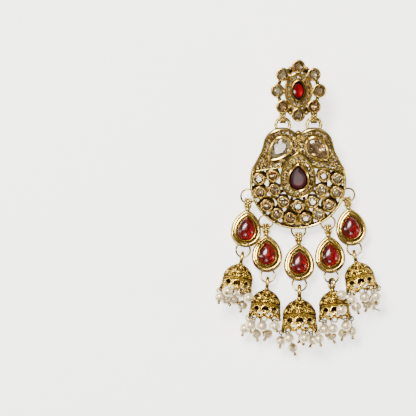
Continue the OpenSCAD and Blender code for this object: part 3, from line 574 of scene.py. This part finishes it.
def bezel(foot, top):
    """Section of a thin wall bent over a stone's edge."""
    return [(bezel_wall + 0.03, foot), (bezel_wall + 0.03, top - 0.25), (bezel_wall - 0.04, top - 0.05),
            (bezel_wall * 0.55, top + 0.06), (0.10, top - 0.02), (0.02, top - 0.18), (0.03, foot + 0.5)]


# the rim of the disc and, for each wing, its edge wire and the bezel and fine wire of its stone
rim_middle = disc_radius - 0.42
rim = circle(np.radians(np.linspace(161, 379, 110)), rim_middle, rim_middle, 1.42) - [0, disc_drop, 0]
body_parts = [brightened(wire(rim, 0.46, 12, closed=False))]
wing = [brightened(wire(wing_edge, 0.27, 8, closed=False)),
        brightened(walled(lambda out: wing_place(pear(*wing_pear, out)), bezel(wing_thickness - 0.3, 3.06))),
        wire(raised(wing_place(pear(*wing_pear, 0.66)), wing_thickness + 0.12), 0.16, 6)]
body_parts += wing + [mirrored(part) for part in wing]
# the middle stone's bezel, with the wires inside and outside its halo
body_parts.append(brightened(walled(lambda out: pear(*middle_pear, out) + halo_centre, bezel(1.6, 3.2))))
halo_wire = raised(pear(*halo_pear, -0.22, 60) + halo_centre, wing_thickness + 0.72)
inner_wire = raised(pear(*middle_pear, 0.62, 50) + halo_centre, wing_thickness + 0.5)
body_parts += [brightened(wire(halo_wire, 0.25, 8)), wire(inner_wire, 0.15, 6)]

# middles of the cups of the disc, right of the axis or on it, down from the hinge line
cup_rows = [(11.4, 15.6), (7.4, 14.67), (11.1, 19.6), (6.9, 18.9), (9.1, 23.55), (4.3, 22.45), (0, 23.75),
            (6.0, 26.1), (2.25, 27.45)]
cups = np.array([(s * x, -y) for x, y in cup_rows for s in ((1,) if x == 0 else (-1, 1))])
round_cup = turned(cup_profile(1.44, 1.91, 2.72), 40)
body_parts += [shifted(round_cup, (x, y, 0)) for x, y in cups]
# the ball in the dip, the beaded ridge below it and the eyelets
body_parts.append(grains([(0, -2.25, 1.15)], 0.84, 14, 20))
ridge = np.array([(0.0, -3.35 - 0.62 * k, wing_thickness + 0.42) for k in range(8)])
body_parts.append(grains(ridge, 0.36, 8, 12))
for side in (-1, 1):
    ring = circle(round_angles(56), eyelet_radius, eyelet_radius, body_back) + [side * eyelet_spread, 0, 0]
    body_parts.append(brightened(wire(ring, 0.50, 14)))

# places of the little stones on the right wing, and the grains that hold them
inner_row = np.array([(1.0, 4.75), (1.02, 6.1), (1.62, 7.4), (2.55, 8.5), (3.5, 9.6), (4.45, 10.7),
                      (5.75, 11.35), (7.15, 11.85), (8.55, 12.15), (9.95, 12.4), (11.4, 12.55)]) * [1, -1]
row_a = np.radians([128, 110, 92, 74, 56, 38, 20, 2])
row_radius = lobe_radius - 0.45 - 0.15 - small_radius
lobe_row = lobe_centre + row_radius * np.stack([np.cos(row_a), np.sin(row_a)], -1)
skirt_row = np.array([(9.4, 7.75), (10.05, 9.0), (10.65, 10.25)]) * [1, -1]
outer_row = np.vstack([lobe_row, skirt_row])
wing_small = np.vstack([inner_row, outer_row])


def claws(line, apart, closed=False):
    """Two grains beside the middle of each gap between neighbours of a row of stones."""
    after = np.roll(line, -1, 0) if closed else line[1:]
    before = line if closed else line[:-1]
    way = after - before
    way /= np.linalg.norm(way, axis=1)[:, None]
    across = np.stack([-way[:, 1], way[:, 0]], -1)
    return np.vstack([(before + after) / 2 + s * apart * across for s in (-1, 1)])


def clear_of(points, others, far):
    """Which points lie farther than the given distance from each of the others."""
    return np.linalg.norm(points[:, None] - others[None], axis=2).min(1) > far


wing_outline = np.vstack([[[0.35, -2.9]], edge, [[0.35, -11.3]]])
stone_edge = wing_place(pear(*wing_pear, 0.3, 60))
stone_core = wing_place(pear(1.2, 3.2, 0.0, 30))


def scattered(keep_off, apart, tries=2600):
    """Random places on the wing, beside its stone and the halo, each of which stands clear of all
    points of keep_off, given as (points, distance), and of the places before it."""
    low, high = wing_outline.min(0), wing_outline.max(0)
    tried = rng.uniform(low, high, (tries, 2))
    tried = tried[within(tried, wing_outline)]
    for points, far in keep_off:
        tried = tried[clear_of(tried, points, far)]
    kept = []
    for point in tried:
        if all((point[0] - q[0]) ** 2 + (point[1] - q[1]) ** 2 > apart * apart for q in kept):
            kept.append(point)
    kept = np.array(kept)
    return kept[~within(kept, halo_edge) & ~within(kept, stone_edge)]


# extra stones in small collets where the rows leave room, then claws, then grains in what is left
extra = scattered([(wing_small, 1.04), (wing_outline, 0.72), (halo_edge, 0.55), (stone_edge, 0.98),
                   (stone_core, 1.6)], 0.98)
row_claws = np.vstack([claws(inner_row, 0.60), claws(outer_row, 0.60)])
row_claws = row_claws[clear_of(row_claws, extra, 0.62)]
filling = scattered([(wing_small, 0.76), (extra, 0.64), (wing_outline, 0.42), (halo_edge, 0.3),
                     (stone_edge, 0.72), (stone_core, 1.5), (row_claws, 0.42)], 0.46)
wing_grains = raised(np.vstack([row_claws, filling]), wing_thickness + 0.12)
collet = turned([(0.30, -0.1), (0.56, -0.1), (0.54, 0.2), (0.47, 0.27), (0.41, 0.2), (0.34, 0.0)], 12)
for s in (-1, 1):
    body_parts.append(grains(wing_grains * [s, 1, 1], 0.27))
for s in (-1, 1):
    body_parts += [shifted(collet, (s * x, y, wing_thickness)) for x, y in extra]


def along_pear(r, reach, s):
    """Points of a pear's right side at the lengths s from its lowest point: round its half circle
    as far as a quarter turn, and then up its big arc."""
    big, quarter = (reach * reach + r * r) / (2 * r), math.pi * r / 2
    a = (s - quarter) / big
    low = np.stack([r * np.sin(s / r), -r * np.cos(s / r)], -1)
    high = np.stack([r - big + big * np.cos(a), big * np.sin(a)], -1)
    return np.where((s < quarter)[:, None], low, high)


# the halo's little stones lie midway between its wall and the middle stone's bezel, evenly spaced
halo_count = 20
halo_r, halo_reach = ((halo_pear[k] - halo_wall + middle_pear[k] + bezel_wall) / 2 for k in (0, 1))
halo_reach += 0.15
halo_big = (halo_reach ** 2 + halo_r ** 2) / (2 * halo_r)
halo_half = math.pi * halo_r / 2 + halo_big * math.asin(halo_reach / halo_big)
length = (np.arange(halo_count) + 0.5) * 2 * halo_half / halo_count
halo_small = along_pear(halo_r, halo_reach, np.minimum(length, 2 * halo_half - length))
halo_small[length >= halo_half, 0] *= -1
halo_small += halo_centre
body_parts.append(grains(raised(claws(halo_small, 0.55, closed=True), wing_thickness + 0.5), claw_radius))
body_settings = piece("body_settings", [(on_body(part[0]), *part[1:]) for part in body_parts],
                      [antique_gold, bright_gold])

leaning = tip(lean)
round_places = on_body(raised(cups, 1.55 + 0.55 * round_radius))
body_glass = stones("round_stones", round_stone(round_radius), round_places,
                    [leaning @ t for t in hand_set(17, 0.05)], [champagne, champagne_foil],
                    rng.uniform(0.0, 0.65, 17))
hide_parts("stone_row_top", "stone_row_second", "stone_row_third", "stone_row_bottom")
sunk, collet_height, collet_scale = -0.32 + 0.55 * small_radius, 0.22, 0.78
for name, node, row, deck, side in (
    ("halo_small_stones", "halo_pave", halo_small, wing_thickness + 0.4, 0),
    ("left_small_stones", "wing_pave_left", wing_small * [-1, 1], wing_thickness, -1),
    ("right_small_stones", "wing_pave_right", wing_small, wing_thickness, 1),
):
    places = raised(row, deck + sunk)
    turns = [leaning @ t for t in hand_set(len(row), 0.16)]
    if side:
        places = np.vstack([places, raised(extra * [side, 1], deck + collet_height)])
        turns += [collet_scale * leaning @ t for t in hand_set(len(extra), 0.16)]
    small = stones(name, small_cut, on_body(places), turns, [champagne, champagne_foil],
                   rng.uniform(0.2, 0.75, len(places)))
    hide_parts(node)

# the three pear stones: dark frosted garnet in the middle, and champagne glass on the wings
garnet = glass("garnet_pressed_glass", "#A41634", 0.32)
garnet_foil = plain_foil("garnet_foil", "#7C5664", 0.5, 0.4)
pear_rows = [(0.56, 0.92), (0.82, 0.62), (1.0, 0.0), (0.72, -0.6), (0.34, -1.2)]
middle_cut = stepped_stone(pear(2.62, 4.6, 0, 16), pear_rows)
middle_stone = single_stone("middle_stone_cut", middle_cut, on_body([*halo_centre, 2.3]), leaning @ tip(0.02),
                            [garnet, garnet_foil, garnet_foil], 0.4)
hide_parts("middle_stone")
wing_cut = stepped_stone(wing_place(pear(2.36, 4.95, 0, 16)) - wing_at, pear_rows)
for side, node, cut, lift, tone in (
    (1, "wing_stone_right", wing_cut, (-0.10, 0.06), 0.25),
    (-1, "wing_stone_left", mirrored(wing_cut), (-0.035, -0.025), 0.55),
):
    place = on_body([side * wing_at[0], wing_at[1], 2.26])
    wing_stone = single_stone(node + "_cut", cut, place, leaning @ tip(lift[0]) @ roll(lift[1]),
                              [champagne, champagne_foil, champagne_foil], tone)
    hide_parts(node)


# The jump rings. Thin drawn wire, bent round and closed by hand: one through each eye behind the
# rim, and one through the eye behind each teardrop. Each lies in its own slope.
wire_gold = gold("drawn_wire_gold_plate", "#B0924E", "#38220A", 0.18, 0.8, 0.5, side=0.8)
ring_radius, ring_wire = 2.05, 0.27
# for each of the five chains, left to right: where it starts on the rim, and how its pieces lie
chain_angle = np.radians([-72, -37, 1, 35, 73])
eye_reach = [0.8, 0.7, 1.2, 0.7, 0.8]
chain_roll = np.radians([-8, 0, 0, 0, 14])
chain_slope = np.radians([4, 10, 4.5, 10, 14])
drop_slope = np.radians([-7, -11, -12, -11, -7])
drop_heading = np.radians([-4, 2, 1, 4, 7])
low_heading = np.radians([-17, 3, 0, 5, 14])
low_roll = np.radians([0, 0, 0, 10, 0])
loop_heading = np.radians([-9, -3, 0, 3, 4])
bell_heading = np.radians([-11, -5, 0, 5, 12])
loop_turn = np.radians([0, 0, 0, 30, 0])
bell_size = [1, 1, 1.12, 1, 1]
knob_hole, eye_depth, drop_neck, drop_radius, drop_length = 0.65, 0.8, 1.9, 4.4, 11.0
drop_back = knob_hole + 0.9
eye_below = drop_neck + drop_length - 1.35
loop_drop, bell_height, dome_height, dome_radius, hem_radius = 2.2, 8.5, 4.6, 4.3, 5.1
belly_below, hem_below, belly_radius = loop_drop + dome_height, loop_drop + bell_height, dome_radius + 0.1
bell_slope = -math.atan2(hem_radius - belly_radius, hem_below - belly_below)


def hung(points, at, heading, slope):
    """A piece drawn hanging, its front to -Y, laid down: tipped to its slope, turned to its
    heading and moved to the point that it hangs from."""
    return np.asarray(points, float) @ (spin(heading) @ tip(slope - math.pi / 2)).T + at


# each ring hangs from the eye above it, and each bell rests on its belly and its hem
knob_at, loop_at, upper_frame, lower_frame = [], [], [], []
for i in range(5):
    c = chain_angle[i]
    reach = disc_radius - eye_reach[i]
    eye = on_body([reach * math.sin(c), -disc_drop - reach * math.cos(c), -eye_depth])
    way = tip(chain_slope[i]) @ roll(chain_roll[i])
    middle = eye + way @ (ring_radius * np.array([math.sin(c), -math.cos(c), 0]))
    knob = middle + way @ np.array([0, 0.1 - ring_radius, 0])
    eye_low = hung([0, drop_back + eye_depth, -eye_below], knob, drop_heading[i], drop_slope[i])
    height = 0.04 + bell_size[i] * (belly_radius * math.cos(bell_slope) + belly_below * math.sin(bell_slope))
    slope = -math.asin((height - 0.35 * bell_size[i] - eye_low[2]) / (2 * ring_radius + 0.15))
    low = hung([0, 0, -ring_radius], eye_low, low_heading[i], slope)
    loop = hung([0, 0, -ring_radius - 0.15], low, loop_heading[i], slope)
    loop[2] = height
    knob_at.append(knob)
    loop_at.append(loop)
    upper_frame.append((middle, way))
    lower_frame.append((low, spin(low_heading[i]) @ tip(slope) @ roll(low_roll[i])))

turn_a = round_angles(72)
for row, frames in (("upper", upper_frame), ("lower", lower_frame)):
    for i, (place, way) in enumerate(frames):
        # the hand-closed ring is a hair out of round
        bent = ring_radius * (1 - 0.008 * ((i + (row == "lower")) % 3))
        loop = wire(circle(turn_a, ring_radius, bent), ring_wire, 12)
        ring = piece(f"{row}_jump_ring_{i}", [shifted(loop, place, way)], [wire_gold])
        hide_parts(f"{row}_ring_{i}")


# The teardrops. A polished pear setting with a broad rolled rim, a channel inside it and a thin
# bezel pressed over a red cabochon. It hangs by a knob of soldered grains, and has an eye behind.
polished_gold = gold("polished_gold_plate", "#E4C464", "#5E400F", 0.13, 0.22, 0.6, side=0.3)
stone_radius, stone_length = 2.55, 6.9
stone_tip, drop_tip = stone_length - stone_radius, drop_length - drop_radius
# section of the shell: 0 for the outer pear or 1 for the stone's, how far out of it, how high
rolled = [(0, -0.35, 0.0), (0, -0.06, 0.16), (0, 0.0, 0.55), (0, 0.0, 1.50), (0, -0.07, 1.92), (0, -0.24, 2.26),
          (0, -0.48, 2.47), (0, -0.72, 2.50), (0, -0.92, 2.40), (0, -1.02, 2.22), (0, -1.05, 2.02),
          (1, 0.76, 2.00), (1, 0.72, 2.14), (1, 0.62, 2.16), (1, 0.50, 2.02), (1, 0.38, 1.86), (1, 0.33, 1.88),
          (1, 0.31, 2.12), (1, 0.27, 2.44), (1, 0.18, 2.53), (1, 0.08, 2.50), (1, 0.02, 2.34), (1, 0.02, 1.30)]


def cabochon_glass():
    """Red glass, dark where it is thick and paler where its tone says that it thins out towards
    the bezel: the share of the paler red is tone^5."""
    made, tree, inputs = material("red_cabochon_glass", {"Roughness": 0.2, "IOR": 1.52,
                                                         "Transmission Weight": 1.0})
    thin = add(tree, "ShaderNodeAttribute", attribute_name="tone")
    thinner = add(tree, "ShaderNodeMath", {0: thin.outputs["Fac"], 1: 5.0}, operation="POWER")
    paler = add(tree, "ShaderNodeMix", {"Factor": thinner.outputs[0], "A": linear("#70020B"),
                                        "B": linear("#CC2412")}, data_type="RGBA")
    tree.links.new(paler.outputs["Result"], inputs["Base Color"])
    return made


def setting():
    """The teardrop's shell in its own plane: rows follow the outer pear or the stone's pear, moved
    out and raised as the section says, and close on a floor in front and a plate behind."""
    pears = (drop_radius, drop_tip), (stone_radius, stone_tip)
    rows = [raised(pear(*pears[which], out, 56), z) for which, out, z in rolled]
    centre = np.array([0, 0.9, 0])
    rows.append(centre + (rows[-1] - centre) * [0, 0, 1])
    back = rows[0] * [0.5, 0.5, 1] + [0, 0.45, 0]
    return sheet_of(np.stack([centre + 0 * back, back] + rows))


def from_knob(part, i):
    """A part drawn hanging from the knob of teardrop i, laid down with it."""
    return (hung(part[0], knob_at[i], drop_heading[i], drop_slope[i]), *part[1:])


def on_drop(part, i):
    """A part drawn in the teardrop's own plane, its back at zero, stood up and laid down with it."""
    x, y, z = part[0].T
    return from_knob((np.stack([x, drop_back - z, y - drop_neck - drop_tip], -1), *part[1:]), i)


def dome(curve, middle, top, foot, steps=14):
    """A cabochon: rows of its outline drawn in by the share s, with a height that falls off from
    the top as top * (1 - s^2.3)^0.6, closed by a foot below. Gives the rows and their shares."""
    share = np.sin(np.linspace(0, np.pi / 2, steps))
    height = foot + 0.95 + top * np.maximum(0.0, 1 - share ** 2.3) ** 0.6
    rows = [raised(middle + s * (curve - middle), z) for s, z in zip(share, height)]
    return np.stack(rows + [raised(curve, foot)]), np.append(share, 1.0)


red_glass = cabochon_glass()
red_foil = plain_foil("red_cabochon_foil", "#A88478", 1.0, 0.5)
upright = np.stack([0 * turn_a, np.cos(turn_a), np.sin(turn_a)], -1)
drop_eye = wire(0.85 * upright + [0, drop_back + eye_depth, -eye_below], 0.28, 10, up=(1, 0, 0))
neck = grains([(0, 0, 0.2 - drop_neck), (0, -0.45, 0.05 - drop_neck), (0, 0, 0.75 - drop_neck)],
              [0.78, 0.5, 0.55], 10, 14)
cap, far = dome(pear(2.52, stone_tip - 0.04, 0, 40), np.array([0, 0.85]), 1.35, 1.42)
cabochon_back = np.stack([cap[-1], 0 * cap[-1] + [0, 0.85, 1.36]])
cabochon_parts = (*sheet_of(cap), 0), (*sheet_of(cabochon_back), 1)
for i in range(5):
    hanging = [*grain_band(1.05, 0.44, 0.66, 8, knob_hole), neck, drop_eye]
    drop = piece(f"teardrop_setting_{i}", [on_drop(setting(), i), *(from_knob(part, i) for part in hanging)],
                 [polished_gold])
    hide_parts(f"teardrop_{i}")
    cabochon = piece(f"red_cabochon_{i}", [on_drop(part, i) for part in cabochon_parts],
                     [red_glass, red_foil], marks=[np.repeat(far, cap.shape[1]), 1.0])
    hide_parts(f"drop_stone_{i}")


# The bells. Each is cast in one: a dome chased with scrolls and grains, a roped band, and a lace of
# arches and points with a small ring at each point. The wash lies deep in the hollows.
bell_gold = gold("chased_yellow_gold_plate", "#F2C850", "#331B04", 0.20, 0.8, 0.3, deep=0.34)
arches, bell_turn, dome_foot = 9, math.radians(10), -6.5
skin_radius, lining_radius, relief_height, dome_steps = 4.12, 3.72, 0.27, 300
lobe_step = 2 * math.pi / arches
# rings of scrolls: angle down from the top, how many, start in cells, size, left or right hand
scroll_rings = (0.42, 6, 0.0, 0.80, 1), (0.92, 9, 0.5, 1.12, -1), (1.36, 12, 0.0, 0.80, 1)


def bump_of(distance, width):
    """A rounded ridge of height 1: the square root of 1 - (distance / width)^2, and 0 beside it."""
    return np.maximum(1 - (distance / width) ** 2, 0) ** 0.5


def chasing(a, up):
    """Height of the dome's relief. Each ring of cells has a scroll in every cell: a ridge where
    distance / pitch minus angle / full turn is near a half, inside a rim, with grains between the
    cells. The relief is the highest of all rings."""
    height = np.zeros_like(a + up)
    for level, count, start, size, hand in scroll_rings:
        cell = 2 * np.pi / count
        width = cell * skin_radius * np.sin(level)
        x = (((a - bell_turn) / cell - start + 0.5) % 1.0 - 0.5) * width
        y = (up - level) * skin_radius
        far, angle = np.hypot(x, y), np.arctan2(y, hand * x) / (2 * np.pi)
        scroll = np.where(far < size, bump_of((far / (0.55 * size) - angle) % 1.0 - 0.5, 0.26), 0)
        between = width / 2 - np.abs(x)
        bead = bump_of(np.hypot(between, y - 0.55 * size), 0.28)
        seed = bump_of(np.hypot(between, y + 0.6 * size), 0.25)
        height = np.maximum.reduce([height, 0.85 * scroll, bump_of(far - size, 0.17), bead, 0.9 * seed])
    return height


def dome_shell():
    """The dome outside and inside: a sphere about the dome's foot with the chasing added outwards,
    down to a straight wall, and a plain sphere inside. Gives the part and how low each point lies."""
    a = round_angles(dome_steps)[None, :]
    up = np.concatenate([np.linspace(0, 1.5, 84), [1.54, np.pi / 2]])[:, None]
    relief = chasing(a, up) * np.clip(up / 0.22, 0, 1) * np.clip((1.56 - up) / 0.05, 0, 1)
    r = skin_radius + relief_height * relief
    outside = circle(a, r * np.sin(up), r * np.sin(up), dome_foot + r * np.cos(up))
    wall = [(skin_radius + 0.02, -7.3), (3.95, -7.42), (lining_radius, -7.3), (lining_radius, dome_foot)]
    skirt = np.stack([circle(a[0], wide, wide, z) for wide, z in wall])
    low = np.linspace(np.pi / 2 - 0.05, 0, 16)[:, None]
    wide = lining_radius * np.sin(low)
    inside = circle(a, wide, wide, dome_foot + lining_radius * np.cos(low))
    depth = np.concatenate([1 - relief.ravel(), np.full((len(skirt) + len(inside)) * dome_steps, 1.6)])
    return sheet_of(np.concatenate([outside, skirt, inside])), depth


def on_wall(x, z, out=0.0):
    """Points of the bell's wall at a length x round it and a height z, and the wall's outward way.
    The wall's radius runs in straight stretches between the belly, the waist and the hem."""
    r = np.interp(-np.asarray(z, float), [6.5, 7.2, 8.56, 10.7], [4.1, 4.12, 4.24, 4.80])
    a = np.asarray(x) / r
    return circle(a, r + out, r + out, z), circle(a, 1.0, 1.0, 0.25)


def lace():
    """For each lobe one arch, half a step on, and one point with its ring and the grains at its
    joints."""
    u = round_angles(28)
    arch, way = on_wall(1.24 * np.cos(u), -8.40 + 1.20 * np.sin(u))
    cast = [(wire(arch, 0.25, 8, up=way), 0.5)]
    for s in (-1, 1):
        leaf = spline([(1.50 * s, -8.75), (1.38 * s, -9.2), (1.06 * s, -9.55), (0.76 * s, -9.9)], 5)
        line, way = on_wall(leaf[:, 0], leaf[:, 1])
        cast.append((wire(line, np.linspace(0.30, 0.20, len(line)), 8, closed=False, up=way), 0.0))
    hoop, way = on_wall(0.76 * np.cos(u), -9.86 + 0.74 * np.sin(u))
    cast.append((wire(hoop, 0.19, 8, up=way), 0.0))
    seeds = on_wall(np.zeros(3), np.array([-7.70, -8.3, -8.95]), 0.05)[0]
    cast.append((grains(seeds, [0.36, 0.30, 0.34], 8, 10), 0.0))
    return [shifted(part, turn=spin(bell_turn + (k + start) * lobe_step)) for k in range(arches)
            for part, start in cast]


def loop_and_crown(i):
    """The loop, its beaded foot and the two ropes round the band, each of two twisted strands."""
    foot = [(0, -1.5), (0.62, -1.55), (0.72, -1.85), (0.62, -2.05), (0.95, -2.2), (1.15, -2.45), (0, -2.6)]
    loop = wire(1.35 * upright, 0.49, 16, up=(1, 0, 0))
    parts = [shifted(loop, turn=spin(loop_turn[i])), turned(foot, 28, False),
             grains(circle(round_angles(12), 1.12, 1.12, -2.34), 0.27)]
    a = round_angles(240)
    for level, thick in ((-6.78, 0.17), (-7.2, 0.13)):
        for strand in (0, 1):
            twist = a * 27 + strand * np.pi
            wide = 4.17 + 0.11 * np.cos(twist)
            parts.append(wire(circle(a, wide, wide, level + 0.11 * np.sin(twist)), thick, 6))
    return parts


def from_loop(part, i, size=1.0):
    """A part drawn hanging from the loop of bell i, brought to its size and laid down with it."""
    return hung(part[0] * size, loop_at[i], bell_heading[i], bell_slope), part[1]


(shell, depth), laces = dome_shell(), lace()
for i in range(5):
    parts = [from_loop(part, i, bell_size[i]) for part in (shell, *laces, *loop_and_crown(i))]
    bell = piece(f"chased_bell_{i}", parts, [bell_gold], soft=50.0, marks=[depth] + [0.0] * (len(parts) - 1))
    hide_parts(f"bell_{i}")


# The pearls. Glass beads dipped in pearl lacquer, each strung on a headed pin whose eye is bent
# through a ring of the hem, so that they swing in all directions and lie where they fell.
def pearl_lacquer():
    """Pearl lacquer: cream in clouds of about 2.2 mm, with flakes that mirror a part of the light,
    under a clear gloss."""
    made, tree, inputs = material("pearl_lacquer", {"Metallic": 0.6, "Roughness": 0.34, "Coat Weight": 1.0,
                                                    "Coat Roughness": 0.07})
    place = add(tree, "ShaderNodeTexCoord").outputs["Object"]
    cloud = add(tree, "ShaderNodeTexNoise", {"Vector": place, "Scale": 1000 / 2.2, "Detail": 2.0})
    body = add(tree, "ShaderNodeMix", {"Factor": cloud.outputs["Fac"], "A": linear("#D6C092"),
                                       "B": linear("#EBDAB2")}, data_type="RGBA")
    tree.links.new(body.outputs["Result"], inputs["Base Color"])
    return made


pearl_finish = pearl_lacquer()
pearl_radius, pin_wire, pin_eye, pin_neck, pin_ball = 1.5, 0.2, 0.66, 0.4, 0.45
pin_drop = pin_eye + pin_wire + pin_neck + pearl_radius
hem_middle = hem_radius - 0.3 - 0.045
# for each bell, its pearls' lobe, swing outwards and sideways in degrees, and longer neck
strung = [
    [(6, 66, 6, 0), (8, -92, -4, 0.5), (7, 63, 15, 1.7), (5, 11, 17, 0), (3, -62, -17, 1.4), (4, -46, 10, 1),
     (1, -11, -2, 0)],
    [(5, -2, 7, 0), (6, -36, 7, 0.6), (7, 37, 12, 0.9), (4, 14, -1, 0.6), (3, -17, -5, 1.7), (1, -24, 9, 1.8),
     (8, -30, 0, 0)],
    [(5, -37, 0, 0), (1, -59, 9, 0.9), (0, -28, -1, 0), (4, 3, 14, 0), (3, -16, -12, 1.8), (8, 19, 3, 0),
     (7, -30, 0, 0)],
    [(5, -19, -6, 0.2), (6, -19, 5, 0.6), (1, -18, 5, 1.3), (0, -1, 1, 1), (3, -13, -17, 1.8),
     (7, 129, -11, 0), (8, -30, 0, 0)],
    [(5, 80, 6, 0), (6, 47, -14, 1.8), (7, -50, -10, 0.7), (0, -25, 0, 1.5), (3, -7, -3, 0.9),
     (1, -28, 17, 1.8), (8, -12, -6, 0)],
]
bore = pin_wire + 0.1
open_at = math.asin(bore / pearl_radius)
arc = np.linspace(open_at, math.pi - open_at, 30)
pearl = turned(np.vstack([np.stack([pearl_radius * np.sin(arc), pearl_radius * np.cos(arc)], -1),
                          [(bore, -1.1), (bore, 1.1)]]), 40)
eye_wire = wire(pin_eye * upright[::2][:, [1, 0, 2]], pin_wire, 10, up=(0, 1, 0))
# one pin of the last bell has lost its pearl, and its bent end sticks out sideways over the table
bent_pin = wire(spline([(20.1, -61.4, 2.3), (21.1, -62.2, 2.0), (22.2, -62.9, 1.4), (23.2, -63.5, 0.9),
                        (23.9, -63.8, 0.7)], 5), 0.17, 8, closed=False)
for i in range(5):
    beads, pins = [], []
    for lobe, outwards, sideways, longer in strung[i]:
        way = spin(bell_turn + lobe * lobe_step)
        at = way @ np.array([hem_middle * bell_size[i], 0, (0.15 - hem_below) * bell_size[i]])
        swing = way @ roll(-math.radians(outwards)) @ tip(math.radians(sideways))
        drop = pin_drop + longer
        end = -drop - pearl_radius - pin_ball
        shank = wire([(0, 0, -pin_eye), (0, 0, -1.3), (0, 0, -drop), (0, 0, end)], pin_wire, 10, closed=False,
                     up=(0, 1, 0))
        ball = grains([(0, 0, end)], pin_ball, 10, 14)
        pins += [shifted(part, at, swing) for part in (eye_wire, shank, ball)]
        beads.append(shifted(pearl, at + swing @ np.array([0, 0, -drop]), swing))
    pearls = piece(f"strung_pearls_{i}", [from_loop(bead, i) for bead in beads], [pearl_finish])
    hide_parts(f"pearls_{i}")
    headed = piece(f"headed_pins_{i}", [from_loop(pin, i) for pin in pins] + ([bent_pin] if i == 4 else []),
                   [wire_gold])
    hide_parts(f"pins_{i}")
